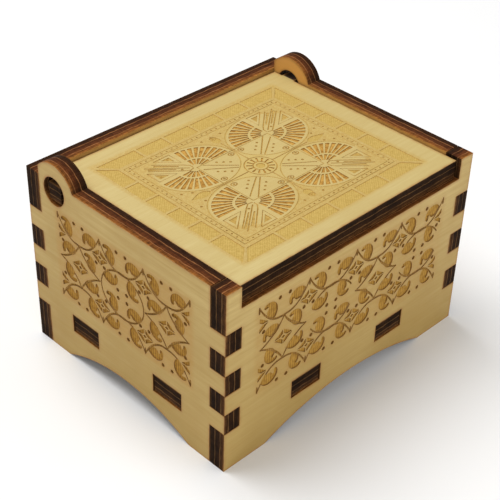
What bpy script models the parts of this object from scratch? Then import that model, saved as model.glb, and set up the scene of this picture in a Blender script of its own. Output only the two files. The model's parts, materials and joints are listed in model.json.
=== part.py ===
"""Hand crank music box: a laser cut plywood case with a hinged lid, and an 18 note movement inside.

Metres, +Z up. The case is drawn with its near left bottom corner at the root empty: X along the front,
Y to the back. The root empty puts the middle of the whole footprint, crank included, at the world origin.
"""

import math
import random

import bmesh
import bpy
from mathutils import Matrix

MM = 0.001

# Clearances
FINGER_GAP = 0.15 * MM
SLOT_GAP = 0.3 * MM
SEAT_GAP = 0.25 * MM
RUNNING_GAP = 0.2 * MM
OVERRUN = 1.0 * MM
WELD = 0.001 * MM

# Case panels
CASE_LENGTH = 64.0 * MM
CASE_WIDTH = 52.5 * MM
CASE_HEIGHT = 39.2 * MM
PANEL_THICKNESS = 3.5 * MM
FINGER_COUNT = 3
LOWEST_FINGER_HEIGHT = 8.9 * MM
FINGER_TOP_MARGIN = 8.3 * MM
FRONT_FOOT_LENGTH = 10.2 * MM
END_FOOT_LENGTH = 9.1 * MM
ARCH_RISE = 4.2 * MM
ARCH_STEPS = 16
CORNER_STEPS = 5
SHARP_ANGLE = math.radians(35.0)

# Bottom panel, held by tabs in slots of the four sides
BOTTOM_HEIGHT = 7.2 * MM
TAB_LENGTH = 7.0 * MM
TAB_OFFSET = 11.5 * MM
TAB_INSET = 0.15 * MM

# Lid and its hinge tabs
LID_DROP = 0.5 * MM
LID_SETBACK = 0.9 * MM
LID_SIDE_GAP = 0.35 * MM
LID_TAIL = 3.8 * MM
LID_TAB_DEPTH = 3.4 * MM
LID_TAB_INSET = 0.3 * MM
LID_SWING_GAP = 0.3 * MM
HINGE_PLAY = 0.15 * MM
EAR_LIFT = 0.35 * MM
EAR_WALL = 2.8 * MM
HOLE_SIDES = 32

# Bedplate casting
BEDPLATE_WIDTH = 36.0 * MM
BEDPLATE_THICKNESS = 2.5 * MM
BEDPLATE_CORNER = 3.0 * MM
BEDPLATE_LEFT_MARGIN = 7.5 * MM
BEDPLATE_RIGHT_MARGIN = 3.0 * MM
CASTING_SINK = 0.6 * MM
RISER_INSET = 0.5 * MM
LUG_THICKNESS = 3.0 * MM
LUG_WALL = 1.8 * MM

# Worm and gear
GEAR_TEETH = 24
WORM_TURNS = 6
WORM_STEPS = 16
WORM_PITCH_RADIUS = 2.2 * MM
THREAD_WIDTH_SHARE = 0.35
ADDENDUM_SHARE = 0.23
DEDENDUM_SHARE = 0.4
FLANK_ANGLE = math.radians(20.0)
WORM_GROUND_GAP = 0.95 * MM
GEAR_WIDTH = 3.0 * MM
GEAR_OFFSET = 5.75 * MM

# Pinned cylinder
CYLINDER_HEADROOM = 2.0 * MM
CYLINDER_STEP = 0.2 * MM
CYLINDER_WALL = 0.8 * MM
CYLINDER_LENGTH = 18.4 * MM
CYLINDER_SIDES = 48
BOSS_LENGTH = 2.0 * MM
CAP_THICKNESS = 0.8 * MM
CAP_EDGE_INSET = 0.3 * MM
ARBOR_RADIUS = 1.2 * MM
ARBOR_END = 0.6 * MM
PIN_LENGTH = 0.9 * MM
PIN_RADIUS = 0.24 * MM
PIN_SINK = 0.3 * MM
PIN_SIDES = 5
PINS_PER_TRACK = 3
PIN_SEED = 18

# Comb
COMB_TEETH = 18
COMB_PITCH = 0.96 * MM
COMB_SLOT = 0.3 * MM
COMB_THICKNESS = 1.1 * MM
COMB_BODY_SHARE = 0.43
COMB_SHORTEST_TOOTH_SHARE = 0.625
COMB_BACK_MARGIN = 2.4 * MM
COMB_SIDE_MARGIN = 0.7 * MM
COMB_TIP_GAP = 0.3 * MM
COMB_SCREW_SPACING = 10.4 * MM

# Bent sheet brackets
BRACKET_THICKNESS = 1.2 * MM
BRACKET_WIDTH = 9.0 * MM
BRACKET_HEAD = 3.6 * MM
BRACKET_BEND = 0.8 * MM
BRACKET_CORNER = 2.4 * MM
BRACKET_CORNER_STEPS = 4
BRACKET_FOOT_LENGTH = 6.0 * MM
BRACKET_GAP = 1.4 * MM
WORM_BRACKET_WIDTH = 12.0 * MM
WORM_BRACKET_MARGIN = 0.65 * MM
WORM_SCREW_SPACING = 8.6 * MM

# Screws
SCREW_RADIUS = 0.9 * MM
SCREW_HOLE_GAP = 0.2 * MM
SCREW_HEAD_RADIUS = 1.5 * MM
SCREW_HEAD_HEIGHT = 1.0 * MM
SCREW_SLOT_WIDTH = 0.45 * MM
SCREW_SLOT_DEPTH = 0.45 * MM
SCREW_BITE = 1.6 * MM
COMB_SCREW_BITE = 5.0 * MM
COMB_SCREW_HEAD_RADIUS = 2.2 * MM
MOUNT_SCREW_HEAD_RADIUS = 2.0 * MM
MOUNT_SCREW_INSET = 3.6 * MM
SCREW_SIDES = 16
SLOT_TURN = math.radians(52.0)

# Worm shaft and crank
PIVOT_RADIUS = 1.1 * MM
SHAFT_RADIUS = 1.9 * MM
SHOULDER_GAP = 0.3 * MM
SHAFT_TAIL = 5.6 * MM
SOCKET_DEPTH = 4.5 * MM
COLLAR_RADIUS = 2.7 * MM
COLLAR_LENGTH = 1.6 * MM
SHAFT_SIDES = 24
WIRE_RADIUS = 1.2 * MM
WIRE_BEND = 2.8 * MM
WIRE_RESOLUTION = 3
BEND_STEPS = 5
CRANK_ARM = 12.0 * MM
CRANK_STANDOFF = 8.0 * MM
CRANK_HOLE_PLAY = 2.0 * MM
KNOB_RADIUS = 3.7 * MM
KNOB_LENGTH = 9.0 * MM
KNOB_END_GAP = 0.3 * MM
KNOB_SIDES = 28
KNOB_PROFILE_SHARES = ((0.0, 0.72), (0.09, 0.9), (0.34, 1.0), (0.66, 0.96), (0.9, 0.84), (1.0, 0.68))
END_CAP_RADIUS = 2.0 * MM
END_CAP_LENGTH = 1.3 * MM
END_CAP_WALL = 0.5 * MM

# Places and sizes that follow from the values above
INNER_RIGHT = CASE_LENGTH - PANEL_THICKNESS
INNER_BACK = CASE_WIDTH - PANEL_THICKNESS
FINGER_HEIGHT = (CASE_HEIGHT - LOWEST_FINGER_HEIGHT - FINGER_TOP_MARGIN) / (2 * FINGER_COUNT - 1)
LID_BOTTOM = CASE_HEIGHT - LID_DROP - PANEL_THICKNESS
HINGE_Z = LID_BOTTOM + PANEL_THICKNESS / 2
HINGE_Y = INNER_BACK - LID_SWING_GAP - math.hypot(LID_TAIL, PANEL_THICKNESS / 2)
HINGE_HOLE_RADIUS = math.hypot(LID_TAB_DEPTH, PANEL_THICKNESS) / 2 + EAR_LIFT + HINGE_PLAY
EAR_Z = HINGE_Z + EAR_LIFT
EAR_RADIUS = HINGE_HOLE_RADIUS + EAR_WALL
BOTTOM_TOP = BOTTOM_HEIGHT + PANEL_THICKNESS
BEDPLATE_TOP = BOTTOM_TOP + SEAT_GAP + BEDPLATE_THICKNESS
BEDPLATE_RIGHT = INNER_RIGHT - BEDPLATE_RIGHT_MARGIN
BEDPLATE_LEFT = PANEL_THICKNESS + BEDPLATE_LEFT_MARGIN
MIDDLE_Y = CASE_WIDTH / 2
BEDPLATE_FRONT = MIDDLE_Y - BEDPLATE_WIDTH / 2
BEDPLATE_BACK = MIDDLE_Y + BEDPLATE_WIDTH / 2
GEAR_SPACE = LID_BOTTOM - CYLINDER_HEADROOM - PIN_LENGTH + CYLINDER_STEP - BEDPLATE_TOP - WORM_GROUND_GAP
WORM_PITCH = (GEAR_SPACE - 2 * WORM_PITCH_RADIUS) / (ADDENDUM_SHARE + GEAR_TEETH / math.pi)
THREAD_WIDTH = THREAD_WIDTH_SHARE * WORM_PITCH
ADDENDUM = ADDENDUM_SHARE * WORM_PITCH
DEDENDUM = DEDENDUM_SHARE * WORM_PITCH
WORM_TIP_RADIUS = WORM_PITCH_RADIUS + ADDENDUM
WORM_ROOT_RADIUS = WORM_PITCH_RADIUS - DEDENDUM
GEAR_PITCH_RADIUS = GEAR_TEETH * WORM_PITCH / (2 * math.pi)
CYLINDER_RADIUS = GEAR_PITCH_RADIUS - CYLINDER_STEP
CRANK_Z = BEDPLATE_TOP + WORM_GROUND_GAP + WORM_TIP_RADIUS
CYLINDER_Z = CRANK_Z + WORM_PITCH_RADIUS + GEAR_PITCH_RADIUS
THREAD_HALF_LENGTH = WORM_TURNS * WORM_PITCH / 2
THREAD_END = THREAD_HALF_LENGTH + WORM_PITCH
LUG_INNER = -THREAD_END - SHOULDER_GAP
WORM_BRACKET_INNER = THREAD_END + COLLAR_LENGTH + SHOULDER_GAP
SHAFT_END = WORM_BRACKET_INNER + BRACKET_THICKNESS + SHAFT_TAIL
CYLINDER_X = BEDPLATE_RIGHT - WORM_BRACKET_MARGIN - BRACKET_FOOT_LENGTH - WORM_BRACKET_INNER
GEAR_Y = MIDDLE_Y + GEAR_OFFSET
CYLINDER_BACK = GEAR_Y - GEAR_WIDTH / 2 - SEAT_GAP
CYLINDER_Y = CYLINDER_BACK - CYLINDER_LENGTH / 2
CYLINDER_FRONT = CYLINDER_BACK - CYLINDER_LENGTH
ARBOR_HOLE_RADIUS = ARBOR_RADIUS + RUNNING_GAP
COMB_TIP_X = CYLINDER_X - CYLINDER_RADIUS - PIN_LENGTH - COMB_TIP_GAP
COMB_BACK_X = BEDPLATE_LEFT + COMB_BACK_MARGIN
COMB_BODY_DEPTH = COMB_BODY_SHARE * (COMB_TIP_X - COMB_BACK_X)
COMB_LONGEST_TOOTH = COMB_TIP_X - COMB_BACK_X - COMB_BODY_DEPTH
COMB_SHORTEST_TOOTH = COMB_SHORTEST_TOOTH_SHARE * COMB_LONGEST_TOOTH
COMB_HALF_WIDTH = COMB_TEETH * COMB_PITCH / 2 + COMB_SIDE_MARGIN
COMB_BOTTOM = CYLINDER_Z - COMB_THICKNESS / 2
COMB_SCREW_X = COMB_BACK_X + COMB_BODY_DEPTH / 2
RISER_TOP = COMB_BOTTOM - SEAT_GAP
SCREW_HOLE_RADIUS = SCREW_RADIUS + SCREW_HOLE_GAP
FRONT_BRACKET_Y = CYLINDER_FRONT - SEAT_GAP - CAP_THICKNESS - BRACKET_GAP - BRACKET_THICKNESS
BACK_BRACKET_Y = GEAR_Y + GEAR_WIDTH / 2 + BRACKET_GAP
ARM_X = CASE_LENGTH + CRANK_STANDOFF
KNOB_START = WIRE_BEND + KNOB_END_GAP
KNOB_BORE_RADIUS = WIRE_RADIUS + RUNNING_GAP
WIRE_END = KNOB_START + KNOB_LENGTH + KNOB_END_GAP + END_CAP_LENGTH - END_CAP_WALL - SEAT_GAP
CRANK_REACH = CRANK_STANDOFF + KNOB_START + KNOB_LENGTH + KNOB_END_GAP + END_CAP_LENGTH
CRANK_HOLE_RADIUS = WIRE_RADIUS + CRANK_HOLE_PLAY
MOUNT_SCREW_PLACES = (
    (BEDPLATE_LEFT + MOUNT_SCREW_INSET, BEDPLATE_BACK - MOUNT_SCREW_INSET),
    (BEDPLATE_RIGHT - MOUNT_SCREW_INSET, BEDPLATE_FRONT + MOUNT_SCREW_INSET),
    (BEDPLATE_RIGHT - MOUNT_SCREW_INSET, BEDPLATE_BACK - MOUNT_SCREW_INSET),
)
BRACKET_BASE = BEDPLATE_TOP + SEAT_GAP
BRACKET_FOOT_MIDDLE = (BRACKET_THICKNESS + BRACKET_BEND + BRACKET_FOOT_LENGTH) / 2
WORM_BRACKET_FOOT_X = CYLINDER_X + WORM_BRACKET_INNER + BRACKET_FOOT_MIDDLE
BRACKET_SCREWS = (
    (CYLINDER_X, FRONT_BRACKET_Y + BRACKET_FOOT_MIDDLE),
    (CYLINDER_X, BACK_BRACKET_Y + BRACKET_FOOT_MIDDLE),
    (WORM_BRACKET_FOOT_X, GEAR_Y - WORM_SCREW_SPACING / 2),
    (WORM_BRACKET_FOOT_X, GEAR_Y + WORM_SCREW_SPACING / 2),
)
COMB_SCREWS = (
    (COMB_SCREW_X, CYLINDER_Y - COMB_SCREW_SPACING / 2),
    (COMB_SCREW_X, CYLINDER_Y + COMB_SCREW_SPACING / 2),
)

# Turns that stand a flat outline up, and lay a turned piece along X or Y, and a place on the parent's origin
STAND_ALONG_X = (math.pi / 2, 0.0, 0.0)
STAND_ALONG_Y = (math.pi / 2, 0.0, math.pi / 2)
LIE_ALONG_X = (0.0, math.pi / 2, 0.0)
LIE_ALONG_Y = (-math.pi / 2, 0.0, 0.0)
UPSIDE_DOWN = (math.pi, 0.0, 0.0)
LEVEL = (0.0, 0.0, 0.0)
ON_AXIS = (0.0, 0.0, 0.0)

# Colour, roughness and metallic value of each material
PLYWOOD = ((0.72, 0.56, 0.31), 0.62, 0.0)
ZINC = ((0.55, 0.53, 0.47), 0.45, 1.0)
STEEL = ((0.62, 0.63, 0.65), 0.28, 1.0)
BRASS = ((0.78, 0.58, 0.24), 0.3, 1.0)
NYLON = ((0.86, 0.85, 0.8), 0.45, 0.0)
NICKEL = ((0.72, 0.71, 0.68), 0.22, 1.0)
IVORY = ((0.83, 0.77, 0.63), 0.4, 0.0)


def clear_scene():
    for obj in list(bpy.data.objects):
        bpy.data.objects.remove(obj)


def new_collection(name):
    collection = bpy.data.collections.new(name)
    bpy.context.scene.collection.children.link(collection)
    return collection


def place(obj, collection, parent, location, rotation=LEVEL):
    collection.objects.link(obj)
    obj.parent = parent
    obj.location = location
    obj.rotation_euler = rotation
    return obj


def empty(name, parent, location):
    return place(bpy.data.objects.new(name, None), parts, parent, location)


def paint(obj, finish):
    colour, roughness, metallic = finish
    material = bpy.data.materials.new(obj.name)
    material.use_nodes = True
    shader = material.node_tree.nodes["Principled BSDF"]
    shader.inputs["Base Color"].default_value = (*colour, 1.0)
    shader.inputs["Roughness"].default_value = roughness
    shader.inputs["Metallic"].default_value = metallic
    obj.data.materials.clear()
    obj.data.materials.append(material)


def smooth(mesh):
    mesh.shade_smooth()
    mesh.set_sharp_from_angle(angle=SHARP_ANGLE)


def arc(centre, radius, start, end, steps):
    """Points on a circle from one angle to another, both ends included."""
    points = []
    for i in range(steps + 1):
        angle = start + (end - start) * i / steps
        points.append((centre[0] + radius * math.cos(angle), centre[1] + radius * math.sin(angle)))
    return points


def circle(centre, radius, sides=HOLE_SIDES):
    return arc(centre, radius, 0.0, 2 * math.pi, sides)[:-1]


def rectangle(left, low, right, high):
    return [(left, low), (right, low), (right, high), (left, high)]


def rounded_rectangle(left, low, right, high, radius):
    quarter = math.pi / 2
    corners = ((right - radius, high - radius), (left + radius, high - radius),
               (left + radius, low + radius), (right - radius, low + radius))
    points = []
    for i, corner in enumerate(corners):
        points += arc(corner, radius, i * quarter, (i + 1) * quarter, CORNER_STEPS)
    return points


def curve_to_mesh(curve, name):
    """A plain mesh of a curve, with its caps welded to its walls."""
    holder = bpy.data.objects.new(name, curve)
    parts.objects.link(holder)
    graph = bpy.context.evaluated_depsgraph_get()
    mesh = bpy.data.meshes.new_from_object(holder.evaluated_get(graph))
    bpy.data.objects.remove(holder)
    bm = bmesh.new()
    bm.from_mesh(mesh)
    bmesh.ops.remove_doubles(bm, verts=bm.verts, dist=WELD)
    bmesh.ops.recalc_face_normals(bm, faces=bm.faces)
    bm.to_mesh(mesh)
    bm.free()
    mesh.name = name
    return mesh


def flat_mesh(name, outline, holes, thickness):
    """An outline with holes, thickened half to each side of its own XY plane."""
    curve = bpy.data.curves.new(name, "CURVE")
    curve.dimensions = "2D"
    curve.fill_mode = "BOTH"
    curve.extrude = thickness / 2
    for loop in [outline] + list(holes):
        spline = curve.splines.new("POLY")
        spline.points.add(len(loop) - 1)
        for point, (u, v) in zip(spline.points, loop):
            point.co = (u, v, 0.0, 1.0)
        spline.use_cyclic_u = True
    return curve_to_mesh(curve, name)


def flat_piece(name, outline, holes, thickness, parent, location, rotation, finish):
    mesh = flat_mesh(name, outline, holes, thickness)
    smooth(mesh)
    obj = place(bpy.data.objects.new(name, mesh), parts, parent, location, rotation)
    paint(obj, finish)
    return obj


def turned_piece(name, profile, closed, sides, parent, location, rotation, finish):
    """A profile of radius and height, listed down its outer side, turned about the local Z axis."""
    mesh = bpy.data.meshes.new(name)
    bm = bmesh.new()
    rim = [bm.verts.new((radius, 0.0, height)) for radius, height in profile]
    for first, second in zip(rim, rim[1:]):
        bm.edges.new((first, second))
    if closed:
        bm.edges.new((rim[-1], rim[0]))
    bm.to_mesh(mesh)
    bm.free()
    obj = place(bpy.data.objects.new(name, mesh), parts, parent, location, rotation)
    screw = obj.modifiers.new("turn", "SCREW")
    screw.steps = sides
    screw.render_steps = sides
    screw.use_merge_vertices = True
    screw.merge_threshold = WELD
    screw.use_smooth_shade = True
    paint(obj, finish)
    return obj


def tool_object(name, mesh, parent, location, rotation=LEVEL):
    """A solid that only cuts or joins another."""
    obj = place(bpy.data.objects.new(name, mesh), cutters, parent, location, rotation)
    obj.hide_render = True
    obj.display_type = "WIRE"
    return obj


def combine(obj, tool, operation):
    boolean = obj.modifiers.new(tool.name, "BOOLEAN")
    boolean.operation = operation
    boolean.object = tool
    boolean.solver = "EXACT"


def rods(name, ends, radius, parent, sides=SCREW_SIDES):
    """Round cutters, one for each pair of end points, in one tool."""
    bm = bmesh.new()
    for low, high in ends:
        span = [b - a for a, b in zip(low, high)]
        axis = max(range(3), key=lambda i: abs(span[i]))
        turn = (Matrix.Rotation(math.pi / 2, 4, "Y"), Matrix.Rotation(math.pi / 2, 4, "X"), Matrix())[axis]
        middle = [(a + b) / 2 for a, b in zip(low, high)]
        bmesh.ops.create_cone(
            bm, cap_ends=True, segments=sides, radius1=radius, radius2=radius,
            depth=abs(span[axis]), matrix=Matrix.Translation(middle) @ turn)
    mesh = bpy.data.meshes.new(name)
    bm.to_mesh(mesh)
    bm.free()
    return tool_object(name, mesh, parent, ON_AXIS)


def end_fingers():
    """Lowest and highest level of each finger of the end panels, from the bottom up."""
    fingers = []
    for i in range(FINGER_COUNT):
        low = LOWEST_FINGER_HEIGHT + 2 * i * FINGER_HEIGHT
        fingers.append((low, low + FINGER_HEIGHT))
    return fingers


def arch(left, right):
    """The shallow arch between two feet, from left to right along the ground."""
    half = (right - left) / 2
    radius = (half * half + ARCH_RISE * ARCH_RISE) / (2 * ARCH_RISE)
    spread = math.asin(half / radius)
    centre = ((left + right) / 2, ARCH_RISE - radius)
    return arc(centre, radius, math.pi / 2 + spread, math.pi / 2 - spread, ARCH_STEPS)


def slots(span):
    """The two slots for the bottom panel's tabs in a side of the given span."""
    low = BOTTOM_HEIGHT - SLOT_GAP
    high = BOTTOM_TOP + SLOT_GAP
    half = TAB_LENGTH / 2 + SLOT_GAP
    return [rectangle(span / 2 + side * TAB_OFFSET - half, low, span / 2 + side * TAB_OFFSET + half, high)
            for side in (-1, 1)]


def long_panel(name, y, recess_depth):
    """Front or back panel, with corner posts around the end panels' fingers."""
    notch = PANEL_THICKNESS + FINGER_GAP
    right_edge = []
    for low, high in end_fingers():
        low -= FINGER_GAP / 2
        high += FINGER_GAP / 2
        right_edge += [(CASE_LENGTH, low), (CASE_LENGTH - notch, low),
                       (CASE_LENGTH - notch, high), (CASE_LENGTH, high)]
    top = [(CASE_LENGTH, CASE_HEIGHT)]
    if recess_depth:
        ledge = CASE_HEIGHT - recess_depth
        top += [(INNER_RIGHT, CASE_HEIGHT), (INNER_RIGHT, ledge),
                (PANEL_THICKNESS, ledge), (PANEL_THICKNESS, CASE_HEIGHT)]
    top.append((0.0, CASE_HEIGHT))
    left_edge = [(CASE_LENGTH - x, z) for x, z in reversed(right_edge)]
    ground = [(0.0, 0.0)] + arch(FRONT_FOOT_LENGTH, CASE_LENGTH - FRONT_FOOT_LENGTH) + [(CASE_LENGTH, 0.0)]
    outline = ground + right_edge + top + left_edge
    return flat_piece(name, outline, slots(CASE_LENGTH), PANEL_THICKNESS, root, (0.0, y, 0.0),
                      STAND_ALONG_X, PLYWOOD)


def end_panel(name, x, crank_hole):
    """Left or right end panel, with fingers through both long panels and a round hinge ear."""
    edge = CASE_WIDTH - PANEL_THICKNESS - FINGER_GAP
    back_edge = [(edge, 0.0)]
    for low, high in end_fingers():
        low += FINGER_GAP / 2
        high -= FINGER_GAP / 2
        back_edge += [(edge, low), (CASE_WIDTH, low), (CASE_WIDTH, high), (edge, high)]
    front_edge = [(CASE_WIDTH - y, z) for y, z in reversed(back_edge)]
    ear_back = math.acos((edge - HINGE_Y) / EAR_RADIUS)
    ear_front = math.pi - math.asin((CASE_HEIGHT - EAR_Z) / EAR_RADIUS)
    ear = arc((HINGE_Y, EAR_Z), EAR_RADIUS, ear_back, ear_front, ARCH_STEPS)
    ground = arch(END_FOOT_LENGTH, CASE_WIDTH - END_FOOT_LENGTH)
    corner = [(CASE_WIDTH - edge, CASE_HEIGHT)]
    holes = slots(CASE_WIDTH) + [circle((HINGE_Y, EAR_Z), HINGE_HOLE_RADIUS)]
    if crank_hole:
        holes.append(circle((GEAR_Y, CRANK_Z), CRANK_HOLE_RADIUS))
    outline = ground + back_edge + ear + corner + front_edge
    return flat_piece(name, outline, holes, PANEL_THICKNESS, root, (x, 0.0, 0.0), STAND_ALONG_Y, PLYWOOD)


def tabbed_side(start, end, out, inward):
    """Points along one straight side from start to end, with two tabs that stand out to one side."""
    along = [(b - a) for a, b in zip(start, end)]
    length = math.hypot(*along)
    along = [a / length for a in along]
    middle = [(a + b) / 2 for a, b in zip(start, end)]
    points = [start]
    for side in (-1, 1):
        for reach, rise in ((-0.5, 0), (-0.5, 1), (0.5, 1), (0.5, 0)):
            step = side * TAB_OFFSET + reach * TAB_LENGTH
            points.append((middle[0] + step * along[0] + rise * out * inward[0],
                           middle[1] + step * along[1] + rise * out * inward[1]))
    return points


def bottom_panel():
    """Floor of the case, with two tabs on each side and holes for the movement's screws."""
    low = PANEL_THICKNESS + FINGER_GAP
    right = CASE_LENGTH - low
    back = CASE_WIDTH - low
    out = PANEL_THICKNESS + FINGER_GAP - TAB_INSET
    corners = [(low, low), (right, low), (right, back), (low, back)]
    outward = [(0, -1), (1, 0), (0, 1), (-1, 0)]
    outline = []
    for i, direction in enumerate(outward):
        outline += tabbed_side(corners[i], corners[(i + 1) % len(corners)], out, direction)
    holes = [circle(spot, SCREW_HOLE_RADIUS, SCREW_SIDES) for spot in MOUNT_SCREW_PLACES]
    return flat_piece("bottom_panel", outline, holes, PANEL_THICKNESS, root,
                      (0.0, 0.0, BOTTOM_HEIGHT + PANEL_THICKNESS / 2), LEVEL, PLYWOOD)


def lid():
    """Flat lid whose two side tabs turn in the ears' holes. Its origin is on the hinge axis."""
    half = CASE_LENGTH / 2
    side = half - PANEL_THICKNESS - LID_SIDE_GAP
    tip = half - LID_TAB_INSET
    tab = LID_TAB_DEPTH / 2
    front = LID_SETBACK - HINGE_Y
    right = [(side, front), (side, -tab), (tip, -tab), (tip, tab), (side, tab), (side, LID_TAIL)]
    outline = right + [(-x, y) for x, y in reversed(right)]
    return flat_piece("lid", outline, [], PANEL_THICKNESS, root, (half, HINGE_Y, HINGE_Z), LEVEL, PLYWOOD)


def bedplate():
    """Cast plate with a riser for the comb and a lug for the worm shaft's pivot."""
    tapped = [circle(spot, SCREW_HOLE_RADIUS, SCREW_SIDES) for spot in MOUNT_SCREW_PLACES + BRACKET_SCREWS]
    outline = rounded_rectangle(BEDPLATE_LEFT, BEDPLATE_FRONT, BEDPLATE_RIGHT, BEDPLATE_BACK,
                                BEDPLATE_CORNER)
    plate = flat_piece("bedplate", outline, tapped, BEDPLATE_THICKNESS, root,
                       (0.0, 0.0, BEDPLATE_TOP - BEDPLATE_THICKNESS / 2), LEVEL, ZINC)
    riser_low = BEDPLATE_TOP - CASTING_SINK
    riser_outline = rectangle(COMB_BACK_X + RISER_INSET, CYLINDER_Y - COMB_HALF_WIDTH,
                              COMB_BACK_X + COMB_BODY_DEPTH - RISER_INSET, CYLINDER_Y + COMB_HALF_WIDTH)
    comb_holes = [circle(spot, SCREW_HOLE_RADIUS, SCREW_SIDES) for spot in COMB_SCREWS]
    riser_mesh = flat_mesh("comb_riser", riser_outline, comb_holes, RISER_TOP - riser_low)
    riser = tool_object("comb_riser", riser_mesh, root, (0.0, 0.0, (RISER_TOP + riser_low) / 2))
    pivot_hole = PIVOT_RADIUS + RUNNING_GAP
    lug_radius = pivot_hole + LUG_WALL
    lug_base = riser_low - CRANK_Z
    lug_outline = [(-lug_radius, lug_base), (lug_radius, lug_base)]
    lug_outline += arc((0.0, 0.0), lug_radius, 0.0, math.pi, ARCH_STEPS)
    lug_bore = circle((0.0, 0.0), pivot_hole, SHAFT_SIDES)
    lug_mesh = flat_mesh("pivot_lug", lug_outline, [lug_bore], LUG_THICKNESS)
    lug_x = CYLINDER_X + LUG_INNER - LUG_THICKNESS / 2
    lug = tool_object("pivot_lug", lug_mesh, root, (lug_x, GEAR_Y, CRANK_Z), STAND_ALONG_Y)
    combine(plate, riser, "UNION")
    combine(plate, lug, "UNION")
    return plate


def angle_bracket(name, width, axis_height, hole_radius, foot_screws, foot_length, location, turn):
    """Bent sheet: an upright with a bearing hole, on a foot. Local X across, Y along the foot, Z up.

    The upright's outer face is at local Y zero and the foot runs to positive Y.
    """
    thick = BRACKET_THICKNESS
    bend = BRACKET_BEND
    top = axis_height + BRACKET_HEAD
    quarter = math.pi / 2
    outer = arc((bend + thick, bend + thick), bend + thick, 2 * quarter, 3 * quarter, BEND_STEPS)
    inner = arc((bend + thick, bend + thick), bend, 3 * quarter, 2 * quarter, BEND_STEPS)
    profile = [(0.0, top)] + outer + [(foot_length, 0.0), (foot_length, thick)] + inner + [(thick, top)]
    mesh = flat_mesh(name, profile, [], width)
    bm = bmesh.new()
    bm.from_mesh(mesh)
    corners = [edge for edge in bm.edges
               if all(vert.co.y > top - WELD for vert in edge.verts)
               and abs(edge.verts[0].co.z - edge.verts[1].co.z) < WELD
               and abs(edge.verts[0].co.x - edge.verts[1].co.x) > WELD]
    bmesh.ops.bevel(bm, geom=corners, offset=BRACKET_CORNER, segments=BRACKET_CORNER_STEPS,
                     profile=0.5, affect="EDGES")
    bmesh.ops.transform(bm, matrix=Matrix.Rotation(quarter, 4, "Z") @ Matrix.Rotation(quarter, 4, "X"),
                        verts=bm.verts)
    bm.to_mesh(mesh)
    bm.free()
    smooth(mesh)
    holder = empty(name + "_place", root, location)
    holder.rotation_euler = (0.0, 0.0, turn)
    obj = place(bpy.data.objects.new(name, mesh), parts, holder, ON_AXIS)
    bearing = [((0.0, -OVERRUN, axis_height), (0.0, thick + OVERRUN, axis_height))]
    combine(obj, rods(name + "_bearing", bearing, hole_radius, holder, SHAFT_SIDES), "DIFFERENCE")
    fixing = [((x, y, -OVERRUN), (x, y, thick + OVERRUN)) for x, y in foot_screws]
    combine(obj, rods(name + "_fixing", fixing, SCREW_HOLE_RADIUS, holder), "DIFFERENCE")
    paint(obj, STEEL)
    return obj


def screw(name, head_radius, length, location, rotation, slot_turn):
    """Slotted cheese head screw. Its head's underside is at the origin and its shank runs down."""
    chamfer = SCREW_HEAD_HEIGHT / 4
    point = SCREW_RADIUS / 2
    profile = [(0.0, SCREW_HEAD_HEIGHT), (head_radius - chamfer, SCREW_HEAD_HEIGHT),
               (head_radius, SCREW_HEAD_HEIGHT - chamfer), (head_radius, 0.0), (SCREW_RADIUS, 0.0),
               (SCREW_RADIUS, point - length), (SCREW_RADIUS - point, -length), (0.0, -length)]
    obj = turned_piece(name, profile, False, SCREW_SIDES, root, location, rotation, STEEL)
    bm = bmesh.new()
    size = (2 * (head_radius + OVERRUN), SCREW_SLOT_WIDTH, SCREW_SLOT_DEPTH + OVERRUN)
    lift = SCREW_HEAD_HEIGHT - SCREW_SLOT_DEPTH + size[2] / 2
    matrix = (Matrix.Rotation(slot_turn, 4, "Z") @ Matrix.Translation((0.0, 0.0, lift))
              @ Matrix.Diagonal((*size, 1.0)))
    bmesh.ops.create_cube(bm, size=1.0, matrix=matrix)
    mesh = bpy.data.meshes.new(name + "_slot")
    bm.to_mesh(mesh)
    bm.free()
    combine(obj, tool_object(name + "_slot", mesh, root, location, rotation), "DIFFERENCE")
    return obj


def comb():
    """Steel comb: 18 teeth from long to short on one body. Local X zero is at the tips."""
    half_tooth = (COMB_PITCH - COMB_SLOT) / 2
    lengths = []
    for i in range(COMB_TEETH):
        share = i / (COMB_TEETH - 1)
        lengths.append(COMB_LONGEST_TOOTH + (COMB_SHORTEST_TOOTH - COMB_LONGEST_TOOTH) * share)
    back = COMB_BACK_X - COMB_TIP_X
    outline = [(back, -COMB_HALF_WIDTH), (-lengths[0], -COMB_HALF_WIDTH)]
    for i, length in enumerate(lengths):
        middle = (i - (COMB_TEETH - 1) / 2) * COMB_PITCH
        neighbour = lengths[min(i + 1, COMB_TEETH - 1)]
        before = lengths[max(i - 1, 0)]
        outline += [(-(length + before) / 2, middle - half_tooth), (0.0, middle - half_tooth),
                    (0.0, middle + half_tooth), (-(length + neighbour) / 2, middle + half_tooth)]
    outline += [(-lengths[-1], COMB_HALF_WIDTH), (back, COMB_HALF_WIDTH)]
    holes = [circle((x - COMB_TIP_X, y - CYLINDER_Y), SCREW_HOLE_RADIUS, SCREW_SIDES)
             for x, y in COMB_SCREWS]
    return flat_piece("comb", outline, holes, COMB_THICKNESS, root,
                      (COMB_TIP_X, CYLINDER_Y, CYLINDER_Z), LEVEL, STEEL)


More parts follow.
